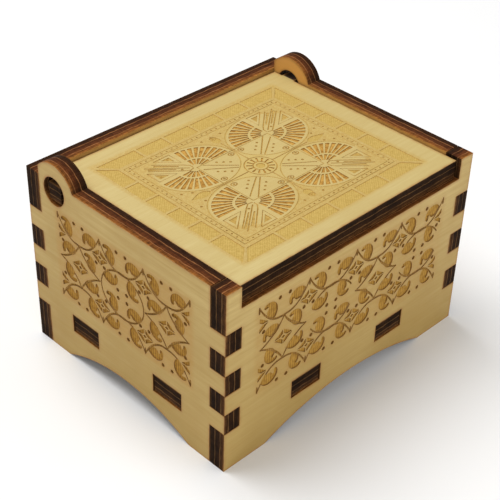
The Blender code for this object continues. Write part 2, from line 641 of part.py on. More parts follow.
def pin_mesh():
    """All the pins, on a generic scatter: each track has its own angles, well apart."""
    shuffle = random.Random(PIN_SEED)
    bm = bmesh.new()
    reach = CYLINDER_RADIUS + PIN_LENGTH
    root_radius = CYLINDER_RADIUS - PIN_SINK
    sector = 2 * math.pi / PINS_PER_TRACK
    for track in range(COMB_TEETH):
        height = (track - (COMB_TEETH - 1) / 2) * COMB_PITCH
        start = shuffle.uniform(0.0, sector)
        for i in range(PINS_PER_TRACK):
            angle = start + i * sector + shuffle.uniform(-sector, sector) / 4
            matrix = (Matrix.Translation((0.0, 0.0, height)) @ Matrix.Rotation(angle, 4, "Z")
                      @ Matrix.Translation(((reach + root_radius) / 2, 0.0, 0.0))
                      @ Matrix.Rotation(math.pi / 2, 4, "Y"))
            bmesh.ops.create_cone(bm, cap_ends=True, segments=PIN_SIDES, radius1=PIN_RADIUS,
                                  radius2=PIN_RADIUS, depth=reach - root_radius, matrix=matrix)
    mesh = bpy.data.meshes.new("pins")
    bm.to_mesh(mesh)
    bm.free()
    return mesh


def pin_cylinder():
    """Brass tube with its pins."""
    half = CYLINDER_LENGTH / 2
    bore = CYLINDER_RADIUS - CYLINDER_WALL
    profile = [(CYLINDER_RADIUS, half), (CYLINDER_RADIUS, -half), (bore, -half), (bore, half)]
    centre = (0.0, CYLINDER_Y - GEAR_Y, 0.0)
    tube = turned_piece("pin_cylinder", profile, True, CYLINDER_SIDES, cylinder_axis, centre,
                        LIE_ALONG_Y, BRASS)
    combine(tube, tool_object("pins", pin_mesh(), cylinder_axis, centre, LIE_ALONG_Y), "UNION")
    return tube


def gear_outline():
    """24 teeth with a gap straight below the axis, where the worm's thread lies."""
    slope = math.tan(FLANK_ANGLE)
    tip = GEAR_PITCH_RADIUS + ADDENDUM
    base = GEAR_PITCH_RADIUS - DEDENDUM
    tip_half = (THREAD_WIDTH / 2 - slope * ADDENDUM) / tip
    base_half = (THREAD_WIDTH / 2 + slope * DEDENDUM) / base
    points = []
    for i in range(GEAR_TEETH):
        middle = math.pi / 2 + (i + 0.5) * 2 * math.pi / GEAR_TEETH
        for radius, offset in ((base, -base_half), (tip, -tip_half), (tip, tip_half), (base, base_half)):
            angle = middle + offset
            points.append((radius * math.cos(angle), radius * math.sin(angle)))
    return points


def cylinder_gear():
    """Gear whose teeth lean with the worm's thread, with a boss that plugs the tube."""
    bore = circle((0.0, 0.0), ARBOR_HOLE_RADIUS, SHAFT_SIDES)
    mesh = flat_mesh("cylinder_gear", gear_outline(), [bore], GEAR_WIDTH)
    lean = WORM_PITCH / (2 * math.pi * WORM_PITCH_RADIUS) / GEAR_PITCH_RADIUS
    for vert in mesh.vertices:
        vert.co.rotate(Matrix.Rotation(lean * vert.co.z, 3, "Z"))
    smooth(mesh)
    gear = place(bpy.data.objects.new("cylinder_gear", mesh), parts, cylinder_axis, ON_AXIS, LIE_ALONG_Y)
    paint(gear, NYLON)
    boss_radius = CYLINDER_RADIUS - CYLINDER_WALL - SEAT_GAP
    boss_length = BOSS_LENGTH + SEAT_GAP + CASTING_SINK
    boss_mesh = flat_mesh("gear_boss", circle((0.0, 0.0), boss_radius, CYLINDER_SIDES), [bore], boss_length)
    boss_y = CASTING_SINK - GEAR_WIDTH / 2 - boss_length / 2
    boss = tool_object("gear_boss", boss_mesh, cylinder_axis, (0.0, boss_y, 0.0), LIE_ALONG_Y)
    combine(gear, boss, "UNION")
    return gear


def cylinder_end_cap():
    """Stepped disc that plugs the tube's front end."""
    rim = CYLINDER_RADIUS - CAP_EDGE_INSET
    plug = CYLINDER_RADIUS - CYLINDER_WALL - SEAT_GAP
    step = BOSS_LENGTH + SEAT_GAP
    profile = [(plug, step), (plug, 0.0), (rim, 0.0), (rim, -CAP_THICKNESS),
               (ARBOR_HOLE_RADIUS, -CAP_THICKNESS), (ARBOR_HOLE_RADIUS, step)]
    front = (0.0, CYLINDER_FRONT - SEAT_GAP - GEAR_Y, 0.0)
    return turned_piece("cylinder_end_cap", profile, True, CYLINDER_SIDES, cylinder_axis, front,
                        LIE_ALONG_Y, NYLON)


def cylinder_arbor():
    """Steel rod through the cylinder, turning in both brackets."""
    front = FRONT_BRACKET_Y - ARBOR_END - GEAR_Y
    back = BACK_BRACKET_Y + BRACKET_THICKNESS + ARBOR_END - GEAR_Y
    chamfer = ARBOR_END / 2
    profile = [(0.0, back), (ARBOR_RADIUS - chamfer, back), (ARBOR_RADIUS, back - chamfer),
               (ARBOR_RADIUS, front + chamfer), (ARBOR_RADIUS - chamfer, front), (0.0, front)]
    return turned_piece("cylinder_arbor", profile, False, SHAFT_SIDES, cylinder_axis,
                        ON_AXIS, LIE_ALONG_Y, STEEL)


def thread_mesh():
    """The worm's ridge, swept right handed about local Z, with its middle turn facing up at rest."""
    slope = math.tan(FLANK_ANGLE)
    inner = WORM_ROOT_RADIUS - PIN_SINK
    corners = []
    for radius, side in ((inner, -1), (WORM_TIP_RADIUS, -1), (WORM_TIP_RADIUS, 1), (inner, 1)):
        half = THREAD_WIDTH / 2 - slope * (radius - WORM_PITCH_RADIUS)
        corners.append((-radius, 0.0, side * half - THREAD_HALF_LENGTH))
    bm = bmesh.new()
    face = bm.faces.new([bm.verts.new(corner) for corner in corners])
    steps = WORM_TURNS * WORM_STEPS
    bmesh.ops.spin(bm, geom=[face], cent=(0.0, 0.0, 0.0), axis=(0.0, 0.0, 1.0),
                   dvec=(0.0, 0.0, WORM_PITCH / WORM_STEPS), angle=WORM_TURNS * 2 * math.pi, steps=steps)
    bmesh.ops.recalc_face_normals(bm, faces=bm.faces)
    mesh = bpy.data.meshes.new("worm_thread")
    bm.to_mesh(mesh)
    bm.free()
    return mesh


def worm_shaft():
    """Turned shaft: pivot, threaded stretch, collar, journal and the socket for the crank's wire."""
    socket = WIRE_RADIUS + RUNNING_GAP
    pivot_end = LUG_INNER - LUG_THICKNESS - SHOULDER_GAP
    profile = [(socket, SHAFT_END), (SHAFT_RADIUS, SHAFT_END),
               (SHAFT_RADIUS, WORM_BRACKET_INNER - SHOULDER_GAP),
               (COLLAR_RADIUS, WORM_BRACKET_INNER - SHOULDER_GAP), (COLLAR_RADIUS, THREAD_END),
               (WORM_ROOT_RADIUS, THREAD_END), (WORM_ROOT_RADIUS, -THREAD_END),
               (PIVOT_RADIUS, -THREAD_END), (PIVOT_RADIUS, pivot_end), (0.0, pivot_end)]
    profile = [(0.0, SHAFT_END - SOCKET_DEPTH), (socket, SHAFT_END - SOCKET_DEPTH)] + profile
    shaft = turned_piece("worm_shaft", profile, False, SHAFT_SIDES, crank_axis, ON_AXIS, LIE_ALONG_X, STEEL)
    thread = tool_object("worm_thread", thread_mesh(), crank_axis, ON_AXIS, LIE_ALONG_X)
    combine(shaft, thread, "UNION")
    return shaft


def crank_arm():
    """Bent wire: along the axis through the panel, down the arm, and out again as the knob's spindle."""
    quarter = math.pi / 2
    arm_x = ARM_X - CYLINDER_X
    start = SHAFT_END - SOCKET_DEPTH + SEAT_GAP
    path = [(start, 0.0)]
    path += arc((arm_x - WIRE_BEND, -WIRE_BEND), WIRE_BEND, quarter, 0.0, BEND_STEPS)
    path += arc((arm_x + WIRE_BEND, WIRE_BEND - CRANK_ARM), WIRE_BEND, 2 * quarter, 3 * quarter, BEND_STEPS)
    path.append((arm_x + WIRE_END, -CRANK_ARM))
    curve = bpy.data.curves.new("crank_arm", "CURVE")
    curve.dimensions = "3D"
    curve.bevel_depth = WIRE_RADIUS
    curve.bevel_resolution = WIRE_RESOLUTION
    curve.use_fill_caps = True
    spline = curve.splines.new("POLY")
    spline.points.add(len(path) - 1)
    for point, (x, z) in zip(spline.points, path):
        point.co = (x, 0.0, z, 1.0)
    mesh = curve_to_mesh(curve, "crank_arm")
    smooth(mesh)
    obj = place(bpy.data.objects.new("crank_arm", mesh), parts, crank_axis, ON_AXIS)
    paint(obj, NICKEL)
    return obj


def crank_knob():
    """Barrel shaped grip that turns on the wire. Its origin is on its own axis."""
    outer = [(KNOB_RADIUS * width, KNOB_LENGTH * along) for along, width in reversed(KNOB_PROFILE_SHARES)]
    profile = outer + [(KNOB_BORE_RADIUS, 0.0), (KNOB_BORE_RADIUS, KNOB_LENGTH)]
    place_x = ARM_X - CYLINDER_X + KNOB_START
    return turned_piece("crank_knob", profile, True, KNOB_SIDES, crank_axis, (place_x, 0.0, -CRANK_ARM),
                        LIE_ALONG_X, IVORY)


def knob_end_cap():
    """Pressed cap on the wire's end that keeps the knob on."""
    bore = WIRE_RADIUS + SEAT_GAP
    chamfer = END_CAP_WALL / 2
    deep = END_CAP_LENGTH - END_CAP_WALL
    profile = [(0.0, END_CAP_LENGTH), (END_CAP_RADIUS - chamfer, END_CAP_LENGTH),
               (END_CAP_RADIUS, END_CAP_LENGTH - chamfer), (END_CAP_RADIUS, 0.0), (bore, 0.0),
               (bore, deep), (0.0, deep)]
    place_x = ARM_X - CYLINDER_X + KNOB_START + KNOB_LENGTH + KNOB_END_GAP
    return turned_piece("knob_end_cap", profile, False, SHAFT_SIDES, crank_axis, (place_x, 0.0, -CRANK_ARM),
                        LIE_ALONG_X, NICKEL)


def brackets():
    """The cylinder's two bearings and the worm shaft's outer bearing, with their screws' places."""
    middle = BRACKET_FOOT_MIDDLE
    height = CYLINDER_Z - BRACKET_BASE
    angle_bracket("front_bracket", BRACKET_WIDTH, height, ARBOR_HOLE_RADIUS, [(0.0, middle)],
                  BRACKET_FOOT_LENGTH, (CYLINDER_X, FRONT_BRACKET_Y, BRACKET_BASE), 0.0)
    angle_bracket("back_bracket", BRACKET_WIDTH, height, ARBOR_HOLE_RADIUS, [(0.0, middle)],
                  BRACKET_FOOT_LENGTH, (CYLINDER_X, BACK_BRACKET_Y, BRACKET_BASE), 0.0)
    half = WORM_SCREW_SPACING / 2
    angle_bracket("worm_bracket", WORM_BRACKET_WIDTH, CRANK_Z - BRACKET_BASE, SHAFT_RADIUS + RUNNING_GAP,
                  [(-half, middle), (half, middle)], BRACKET_FOOT_LENGTH,
                  (CYLINDER_X + WORM_BRACKET_INNER, GEAR_Y, BRACKET_BASE), -math.pi / 2)


def screws():
    """All the screws. Each one's slot is turned one step further than the last one's."""
    on_foot = BRACKET_BASE + BRACKET_THICKNESS + SEAT_GAP
    on_comb = CYLINDER_Z + COMB_THICKNESS / 2 + SEAT_GAP
    under_bottom = BOTTOM_HEIGHT - SEAT_GAP
    foot_length = BRACKET_THICKNESS + 2 * SEAT_GAP + SCREW_BITE
    comb_length = COMB_THICKNESS + 2 * SEAT_GAP + COMB_SCREW_BITE
    mount_length = PANEL_THICKNESS + 2 * SEAT_GAP + SCREW_BITE
    names = ("front_bracket_screw", "back_bracket_screw", "worm_bracket_screw_1", "worm_bracket_screw_2")
    plan = [(name, SCREW_HEAD_RADIUS, foot_length, (x, y, on_foot), LEVEL)
            for name, (x, y) in zip(names, BRACKET_SCREWS)]
    plan += [(f"comb_screw_{i}", COMB_SCREW_HEAD_RADIUS, comb_length, (x, y, on_comb), LEVEL)
             for i, (x, y) in enumerate(COMB_SCREWS, 1)]
    plan += [(f"movement_screw_{i}", MOUNT_SCREW_HEAD_RADIUS, mount_length, (x, y, under_bottom),
              UPSIDE_DOWN) for i, (x, y) in enumerate(MOUNT_SCREW_PLACES, 1)]
    for i, (name, head_radius, length, location, rotation) in enumerate(plan):
        screw(name, head_radius, length, location, rotation, i * SLOT_TURN)


clear_scene()
parts = new_collection("hand_crank_music_box")
cutters = new_collection("cutters")
root = empty("music_box", None, (-(CASE_LENGTH + CRANK_REACH) / 2, -CASE_WIDTH / 2, 0.0))
crank_axis = empty("crank_axis", root, (CYLINDER_X, GEAR_Y, CRANK_Z))
cylinder_axis = empty("cylinder_axis", root, (CYLINDER_X, GEAR_Y, CYLINDER_Z))

long_panel("front_panel", PANEL_THICKNESS / 2, LID_DROP + PANEL_THICKNESS + SLOT_GAP)
long_panel("back_panel", CASE_WIDTH - PANEL_THICKNESS / 2, 0.0)
end_panel("left_end_panel", PANEL_THICKNESS / 2, False)
end_panel("right_end_panel", CASE_LENGTH - PANEL_THICKNESS / 2, True)
bottom_panel()
lid()
bedplate()
brackets()
comb()
pin_cylinder()
cylinder_gear()
cylinder_end_cap()
cylinder_arbor()
worm_shaft()
crank_arm()
crank_knob()
knob_end_cap()
screws()
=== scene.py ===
"""Hand crank music box: engraved, laser cut plywood around a pinned cylinder movement.

Metres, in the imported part's own frame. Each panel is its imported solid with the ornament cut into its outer
face. A face is drawn flat, in its own u and v, and stood up by a matrix. W is zero on the wood's surface.
"""

import json
import math

import bmesh
import bpy
from mathutils import Matrix, Vector


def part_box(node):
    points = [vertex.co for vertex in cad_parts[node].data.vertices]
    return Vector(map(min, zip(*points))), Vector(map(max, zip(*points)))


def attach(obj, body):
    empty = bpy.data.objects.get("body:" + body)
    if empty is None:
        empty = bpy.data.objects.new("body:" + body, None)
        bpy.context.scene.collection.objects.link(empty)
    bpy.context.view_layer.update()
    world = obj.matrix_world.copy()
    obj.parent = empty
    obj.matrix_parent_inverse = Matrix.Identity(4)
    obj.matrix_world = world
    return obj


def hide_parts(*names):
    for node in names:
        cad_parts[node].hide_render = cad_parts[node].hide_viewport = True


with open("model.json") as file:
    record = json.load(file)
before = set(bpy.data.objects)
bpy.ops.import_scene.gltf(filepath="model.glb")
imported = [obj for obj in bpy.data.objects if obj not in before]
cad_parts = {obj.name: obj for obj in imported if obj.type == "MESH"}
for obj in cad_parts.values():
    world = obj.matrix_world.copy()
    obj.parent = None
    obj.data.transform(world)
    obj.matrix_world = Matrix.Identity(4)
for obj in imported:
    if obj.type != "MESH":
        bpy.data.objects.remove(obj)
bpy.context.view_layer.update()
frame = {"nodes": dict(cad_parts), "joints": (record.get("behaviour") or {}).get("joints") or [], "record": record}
nodes = frame["nodes"]
BODY_OF = {node: body for body, members in frame["record"]["behaviour"]["bodies"].items() for node in members}

front_low, front_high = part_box("front_panel")
left_low, left_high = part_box("left_end_panel")
right_low, right_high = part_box("right_end_panel")
lid_low, lid_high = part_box("lid")
PLY = front_high.y - front_low.y
CASE_CORNER = Vector((front_low.x, front_low.y, front_low.z))
RIM = front_high.z

MM = 0.001
X, Y, Z = range(3)
QUARTERS = [(su, sv) for su in (1, -1) for sv in (1, -1)]


def mm(*values):
    """Millimetres as metres."""
    return tuple(value * MM for value in values)


def srgb(red, green, blue):
    """A colour given from 0 to 255 as on a screen, as linear light."""
    shares = [value / 255 for value in (red, green, blue)]
    return tuple(s / 12.92 if s <= 0.04045 else ((s + 0.055) / 1.055) ** 2.4 for s in shares) + (1.0,)


# Camera, fitted to the case's corners in the photograph, in the case's own corner frame
CAMERA_PLACE = mm(-106.178, -108.682, 158.307)
CAMERA_RIGHT = (0.71132, -0.70245, 0.02435)
CAMERA_DOWN = (-0.39813, -0.43123, -0.80965)
CAMERA_LENS = 88.41
CAMERA_NEAREST = 10 * MM

# Studio: each soft light's name, place, size and power
DAYLIGHT = (1.0, 0.995, 0.985, 1.0)
DAYLIGHT_STRENGTH = 0.42
SOFTBOXES = (("key", (-0.1, 0.25, 0.6), 0.5, 3.2),
             ("left_fill", (-0.45, -0.5, 0.3), 0.6, 0.8),
             ("right_fill", (0.35, -0.65, 0.3), 0.7, 1.4))
FLOOR_RADIUS = 2.0
FLOOR_STEPS = 64
FLOOR_TONE = (0.94, 0.94, 0.94, 1.0)

# How near points are joined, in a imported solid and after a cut, and how far a normal has to lie along an
# axis for its face to count as facing that way
WELD = 0.002 * MM
CUT_WELD = 0.0002 * MM
FLAT_FACE = 0.9
LEVEL_FACE = 0.5
SHARP_ANGLE = math.radians(38.0)

# Engraving
FILL_DEPTH = 0.24 * MM
STEM_DEPTH = 0.29 * MM
DOT_DEPTH = 0.34 * MM
PATCH_DEPTH = 0.8 * FILL_DEPTH
LID_FILL_DEPTH = 0.13 * MM
LID_LINE_DEPTH = 0.1 * MM
LID_FRAME_DEPTH = 0.5 * LID_LINE_DEPTH
LID_DOT_DEPTH = 0.14 * MM
DROP_STEP = 0.001 * MM
CUT_LIFT = 0.4 * MM
STEM_WIDTH = 0.47 * MM
STEM_TAPER = 0.4
LID_LINE_WIDTH = 0.26 * MM
LID_FRAME_WIDTH = 0.8 * LID_LINE_WIDTH
DOT_RADIUS = 0.42 * MM
LID_DOT_RADIUS = 0.27 * MM
BEAD_RADIUS = 0.8 * LID_DOT_RADIUS

# Ornament of the four sides: cells between pointed peaks, above and below a middle line
FRONT_CELLS = 4
END_CELLS = 3
FRONT_CELL = 12.15 * MM
END_CELL = 11.8 * MM
FRONT_MIDDLE = 23.2 * MM
END_MIDDLE = 24.0 * MM
VALLEY_RISE = 4.8 * MM
PEAK_RISE = 9.3 * MM
ARC_POWER = 2.6
ARC_STEPS = 12
ARC_CROWDING = 0.6
SPUR = 1.5 * MM
SPUR_START = 0.2 * MM
SPUR_STEPS = 4
DIAMOND = mm(5.75, 4.95)
DIAMOND_POWER = 2.7
DIAMOND_STEPS = 12
OVAL = mm(5.8, 5.0)
OVAL_OPEN_ANGLE = math.radians(27.0)
LEAF = ((-0.62, -0.85), (-0.1, -1.22), (0.6, -1.34), (1.35, -1.08), (2.1, -0.5), (1.85, 0.3), (1.2, 0.98),
        (0.35, 1.36), (-0.55, 1.36), (-1.35, 1.02), (-1.9, 0.38), (-2.12, -0.35), (-1.95, -0.9),
        (-1.55, -0.98), (-1.32, -0.62), (-1.2, -0.28), (-0.98, -0.14), (-0.78, -0.38))
LEAF_REACH = 2.1 * MM
LYING_TURN = math.radians(20.0)
STANDING_TURN = math.radians(-58.0)
ROW_LYING = mm(3.0, 7.6)
ROW_STANDING = mm(-3.15, 7.5)
STAR_LYING = mm(-3.15, 2.75)
STAR_STANDING = mm(3.1, 2.65)
OVAL_LYING = mm(3.0, -2.5)
OVAL_STANDING = mm(-2.75, -2.55)
ROW_DOT = mm(1.2, 9.1)
OVAL_DOT = mm(1.2, 0.9)
PEAK_DOT = mm(1.15, 3.75)
PATCH = mm(2.45, 1.75)
PATCH_RISE = 5.45 * MM
PATCH_SHARE = 0.86
PATCH_HEART = 0.37
PATCH_CORE = 0.2
CRANK_HOLE_RADIUS = 3.2 * MM
HOLE_MARGIN = 1.1 * MM

# Ornament of the lid, from its middle outwards
LID_RING_RADII = mm(1.4, 3.05)
HUB_SHARE = 0.62
PETALS = 14
PETAL_SHARE = 0.35
PETAL_GAP = 0.4 * MM
LID_SHIFT = -0.3 * MM
FIELD = mm(9.15, 7.35)
FAN = mm(8.1, 6.35)
FAN_RIM = mm(8.9, 7.1)
FAN_RIM_OPENING = 0.03
FAN_GAP = 0.15 * MM
FAN_OUTER_SHARES = (0.5, 1.0)
FAN_INNER_SHARES = (0.16, 0.43)
FAN_SPOKES = 9
FAN_INNER_SPOKES = 5
SPOKE_SHARE = 0.66
FRAME = mm(18.5, 14.8)
FRAME_GAP = 0.95 * MM
BORDER = mm(23.3, 19.7)
BORDER_WIDTH = 3.1 * MM
BLOCKS_PER_SIDE = 6
BLOCK_GAP = 0.5 * MM
BEAD_PITCH = 1.25 * MM

# Lid: drops as length, width, start and whether they lie along v, then the marks on and beside the rays
DROPS = ((*mm(4.6, 0.9, 12.6), False), (*mm(3.0, 0.9, 10.8), True))
DROP_STEPS = 8
DROP_FULLNESS = 0.7
RAY_LINE = ((0.34, 0.35 * MM), (0.9, 0.75 * MM))
RAY_DOTS = (0.46, 0.57, 0.68)
RAY_DOT_OFF = 1.6 * MM
AXIS_REACH = mm(12.4, 10.6)
EYES = (mm(8.0, 1.25), mm(1.25, 6.5))
OUTER_EYE = 12.9 * MM
EYE = 0.62 * MM
EYE_FLATNESS = 0.8
LONE_DOTS = (mm(17.2, 2.6), mm(15.4, 1.7), mm(2.4, 13.4))

# Lid corners, in millimetres out from the field's corner: dots, the spear's lines, the triangles that flank
# it, and the slivers beside it as start, end and half width at each
CORNER_DOTS = ((6.9, 2.0), (2.1, 5.7), (2.4, 1.3))
SPEAR = (((0.5, 0.3), (1.5, 0.1), (2.6, 0.9), (7.5, 4.9)),
         ((0.4, 0.5), (0.4, 1.4), (1.2, 2.3), (5.6, 6.2)),
         ((1.0, 0.8), (7.4, 6.1)))
FLANKS = (((8.2, 4.4), (8.2, 0.9), (4.0, 0.9)), ((4.7, 6.7), (0.9, 6.7), (0.9, 3.2)))
FLANK_SHARE = 0.5
SLIVERS = (((3.2, 2.05), (7.2, 5.3), 0.12, 0.27), ((2.2, 2.5), (5.7, 5.5), 0.14, 0.32))

# Pinned cylinder
TUBE_PAST_CAP = 0.3 * MM
TUBE_WALL = 0.8 * MM
TUBE_STEPS = 72
GROOVE_DEPTH = 0.03 * MM
GROOVE_PITCH = 0.5 * MM
PIN_TRACKS = 36
PIN_SLOTS = 26
PIN_CHANCE_SHARE = 0.26
PIN_RADIUS = 0.17 * MM
PIN_TIP_SHARE = 0.8
PIN_SIDES = 6
PIN_ROOT = 0.2 * MM
PIN_SCATTER = 0.1
PIN_SEED = 18

# Scorched wood beside a laser cut, how far the lid's ornament is spared it, and the band inside the rim
SCORCH_REACH = 1.4 * MM
CHAR_REACH = 0.3 * MM
LID_CALM = 0.85
INNER_BAND = mm(3.5, 1.5)

# The laser's raster in millimetres, the share of its ribs in the tone, and the haze's soft margins
RASTER_PITCH = 0.55
SIDE_RIBS = 0.5
LID_RIBS = 0.15
SIDE_HAZE_MARGIN = 1.5 * MM
LID_HAZE_MARGIN = 1.2 * MM
FIELD_MARGIN = 0.3 * MM
# where the lid's tabs begin, and the soft margin of the painted shade on them
TAB_MARGIN = 0.1 * MM
TAB_START = 0.2 * MM

# Golden tone at the rim, and the least and most smoke over the ornament, on the long sides and the ends
LONG_SIDE_SMOKE = (0.05, (0.15, 0.5))
END_SMOKE = (0.28, (0.4, 0.85))

# Tones of the wood, pale and deep, and of the engraving, light and dark
LID_TONES = ((210, 191, 132), (190, 165, 100))
SIDE_TONES = ((210, 184, 117), (177, 144, 80))
SIDE_FILL = ((186, 142, 62), (142, 102, 38))
END_FILL = ((180, 134, 54), (136, 95, 34))
SIDE_STEM = ((176, 134, 66), (136, 98, 44))
LID_FILL = ((204, 174, 98), (176, 144, 70))
LID_FAN = ((204, 158, 76), (158, 112, 44))
LID_LINE = ((190, 154, 78), (164, 126, 60))
LID_FRAME = ((196, 164, 90), (174, 140, 70))
FLECK = srgb(172, 136, 84)
CUT_HALO = srgb(168, 118, 58)
CUT_RIM = srgb(142, 88, 40)
GOLDEN = srgb(172, 140, 72)
# partly smoke stain, partly painted light on the shaded inner face just below the rim
INNER_SMOKE_AND_PAINTED_LIGHT = srgb(216, 156, 76)
SIDE_HAZE = srgb(180, 138, 66)
LID_DULL = srgb(190, 164, 98)
LID_HAZE = srgb(202, 174, 96)
LID_GROUND = srgb(184, 148, 74)
# painted shade on the lid's tabs inside the ear holes
TAB_PAINTED_SHADE = srgb(58, 36, 24)

# Laser cut edges, along the share of the sheet's thickness: upright ones, level ones, and the glue lines. The
# level ones and their glue lines are painted lighter and redder: painted light, as if lit from above
UPRIGHT_EDGE = ((0.0, (134, 94, 52)), (0.07, (88, 56, 30)), (0.25, (54, 33, 18)), (0.55, (34, 21, 12)),
                (0.92, (36, 23, 13)), (1.0, (84, 58, 32)))
LEVEL_EDGE_PAINTED_LIT = ((0.0, (190, 130, 62)), (0.07, (150, 92, 42)), (0.3, (112, 62, 32)), (0.55, (84, 46, 26)),
              (0.8, (54, 32, 20)), (0.94, (48, 31, 20)), (1.0, (104, 68, 36)))
BLACK, WHITE = (0, 0, 0), (255, 255, 255)
GLUE_LINES = ((0.23, BLACK), (0.27, WHITE), (0.31, BLACK), (0.605, BLACK), (0.64, WHITE), (0.675, BLACK))
UPRIGHT_GLUE = srgb(134, 98, 60)
LEVEL_GLUE_PAINTED_LIT = srgb(184, 124, 74)
EDGE_PATCH = srgb(104, 66, 36)
CHAR = srgb(24, 15, 9)


# Nodes and objects

def add_node(tree, kind, inputs=None, **settings):
    """A node with its settings, whose inputs take values or other nodes' outputs."""
    made = tree.nodes.new(kind)
    for key, value in settings.items():
        setattr(made, key, value)
    for key, value in (inputs or {}).items():
        if isinstance(value, bpy.types.NodeSocket):
            tree.links.new(value, made.inputs[key])
        else:
            made.inputs[key].default_value = value
    return made


def math_node(tree, operation, first, second=0.0):
    return add_node(tree, "ShaderNodeMath", {0: first, 1: second}, operation=operation).outputs[0]


def plus(tree, first, second):
    return math_node(tree, "ADD", first, second)


def minus(tree, first, second):
    return math_node(tree, "SUBTRACT", first, second)


def times(tree, first, *others):
    for other in others:
        first = math_node(tree, "MULTIPLY", first, other)
    return first


def combine(tree, x=0.0, y=0.0, z=0.0):
    return add_node(tree, "ShaderNodeCombineXYZ", {"X": x, "Y": y, "Z": z}).outputs[0]


def separate(tree, source):
    """A vector's X, Y and Z, as three outputs."""
    return add_node(tree, "ShaderNodeSeparateXYZ", {0: source}).outputs


def new_object(name, data):
    """An object linked to the scene."""
    obj = bpy.data.objects.new(name, data)
    bpy.context.scene.collection.objects.link(obj)
    return obj


def mesh_from(bm, name, materials=()):
    """The built mesh with its materials. It ends the building."""
    mesh = bpy.data.meshes.new(name)
    bm.to_mesh(mesh)
    bm.free()
    for material in materials:
        mesh.materials.append(material)
    return mesh


def plain_mesh(obj):
    """A plain mesh of an object as its modifiers leave it."""
    graph = bpy.context.evaluated_depsgraph_get()
    return bpy.data.meshes.new_from_object(obj.evaluated_get(graph))


# Geometry node trees

def new_tree(name, sizes):
    """An empty geometry tree with named inputs, and its group input's sockets."""
    tree = bpy.data.node_groups.new(name, "GeometryNodeTree")
    tree.interface.new_socket("Geometry", in_out="INPUT", socket_type="NodeSocketGeometry")
    for label, kind in sizes.items():
        tree.interface.new_socket(label, in_out="INPUT", socket_type="NodeSocket" + kind)
    tree.interface.new_socket("Geometry", in_out="OUTPUT", socket_type="NodeSocketGeometry")
    return tree, tree.nodes.new("NodeGroupInput").outputs


def close_tree(tree, geometry, material):
    """Real geometry with its material, as the tree's result."""
    real = add_node(tree, "GeometryNodeRealizeInstances", {"Geometry": geometry})
    painted = add_node(tree, "GeometryNodeSetMaterial",
                       {"Geometry": real.outputs["Geometry"], "Material": material})
    add_node(tree, "NodeGroupOutput", {"Geometry": painted.outputs["Geometry"]})
    return tree


def attribute(tree, name):
    return add_node(tree, "GeometryNodeInputNamedAttribute", {"Name": name},
                    data_type="FLOAT").outputs["Attribute"]


def position(tree):
    return separate(tree, add_node(tree, "GeometryNodeInputPosition").outputs[0])


def enabled_output(node):
    return next(socket for socket in node.outputs if socket.enabled)


def instances(tree, points, shape, **inputs):
    """A shape on each point, as instances."""
    return add_node(tree, "GeometryNodeInstanceOnPoints",
                    {"Points": points, "Instance": shape, **inputs}).outputs["Instances"]


def moved(tree, geometry, place):
    return add_node(tree, "GeometryNodeSetPosition",
                    {"Geometry": geometry, "Position": place}).outputs["Geometry"]


def stamp_tree():
    """Sets a shape on each point, turned as the point's attribute says."""
    tree, sizes = new_tree("stamp", {"Shape": "Object", "Material": "Material"})
    shape = add_node(tree, "GeometryNodeObjectInfo", {"Object": sizes["Shape"]})
    stamped = instances(tree, sizes["Geometry"], shape.outputs["Geometry"],
                        Rotation=combine(tree, z=attribute(tree, "turn")))
    return close_tree(tree, stamped, sizes["Material"])


def stroke_tree():
    """Draws a ribbon along lines, from the cut's floor to above the wood, narrower towards its ends."""
    tree, sizes = new_tree("stroke", {"Width": "Float", "Depth": "Float", "Lift": "Float",
                                      "Taper": "Float", "Material": "Material"})
    line = add_node(tree, "GeometryNodeMeshToCurve", {"Mesh": sizes["Geometry"]})
    level = add_node(tree, "GeometryNodeSetCurveNormal", {"Curve": line.outputs["Curve"]}, mode="Z_UP")
    along = add_node(tree, "GeometryNodeSplineParameter").outputs["Factor"]
    swell = math_node(tree, "SINE", times(tree, along, math.pi))
    fullness = minus(tree, 1.0, times(tree, sizes["Taper"], minus(tree, 1.0, swell)))
    section = add_node(tree, "GeometryNodeCurvePrimitiveQuadrilateral",
                       {"Width": sizes["Width"], "Height": plus(tree, sizes["Depth"], sizes["Lift"])})
    middle = times(tree, minus(tree, sizes["Lift"], sizes["Depth"]), 0.5)
    raised = add_node(tree, "GeometryNodeTransform",
                      {"Geometry": section.outputs["Curve"], "Translation": combine(tree, y=middle)})
    ribbon = add_node(tree, "GeometryNodeCurveToMesh",
                      {"Curve": level.outputs["Curve"], "Profile Curve": raised.outputs["Geometry"],
                       "Scale": fullness, "Fill Caps": True})
    drop = attribute(tree, "drop")
    place = position(tree)
    floor_level = plus(tree, sizes["Depth"], drop)
    top_level = plus(tree, sizes["Lift"], drop)
    upper = math_node(tree, "GREATER_THAN", place["Z"], 0.0)
    height = times(tree, upper, plus(tree, floor_level, top_level))
    even = combine(tree, place["X"], place["Y"], minus(tree, height, floor_level))
    return close_tree(tree, moved(tree, ribbon.outputs["Mesh"], even), sizes["Material"])


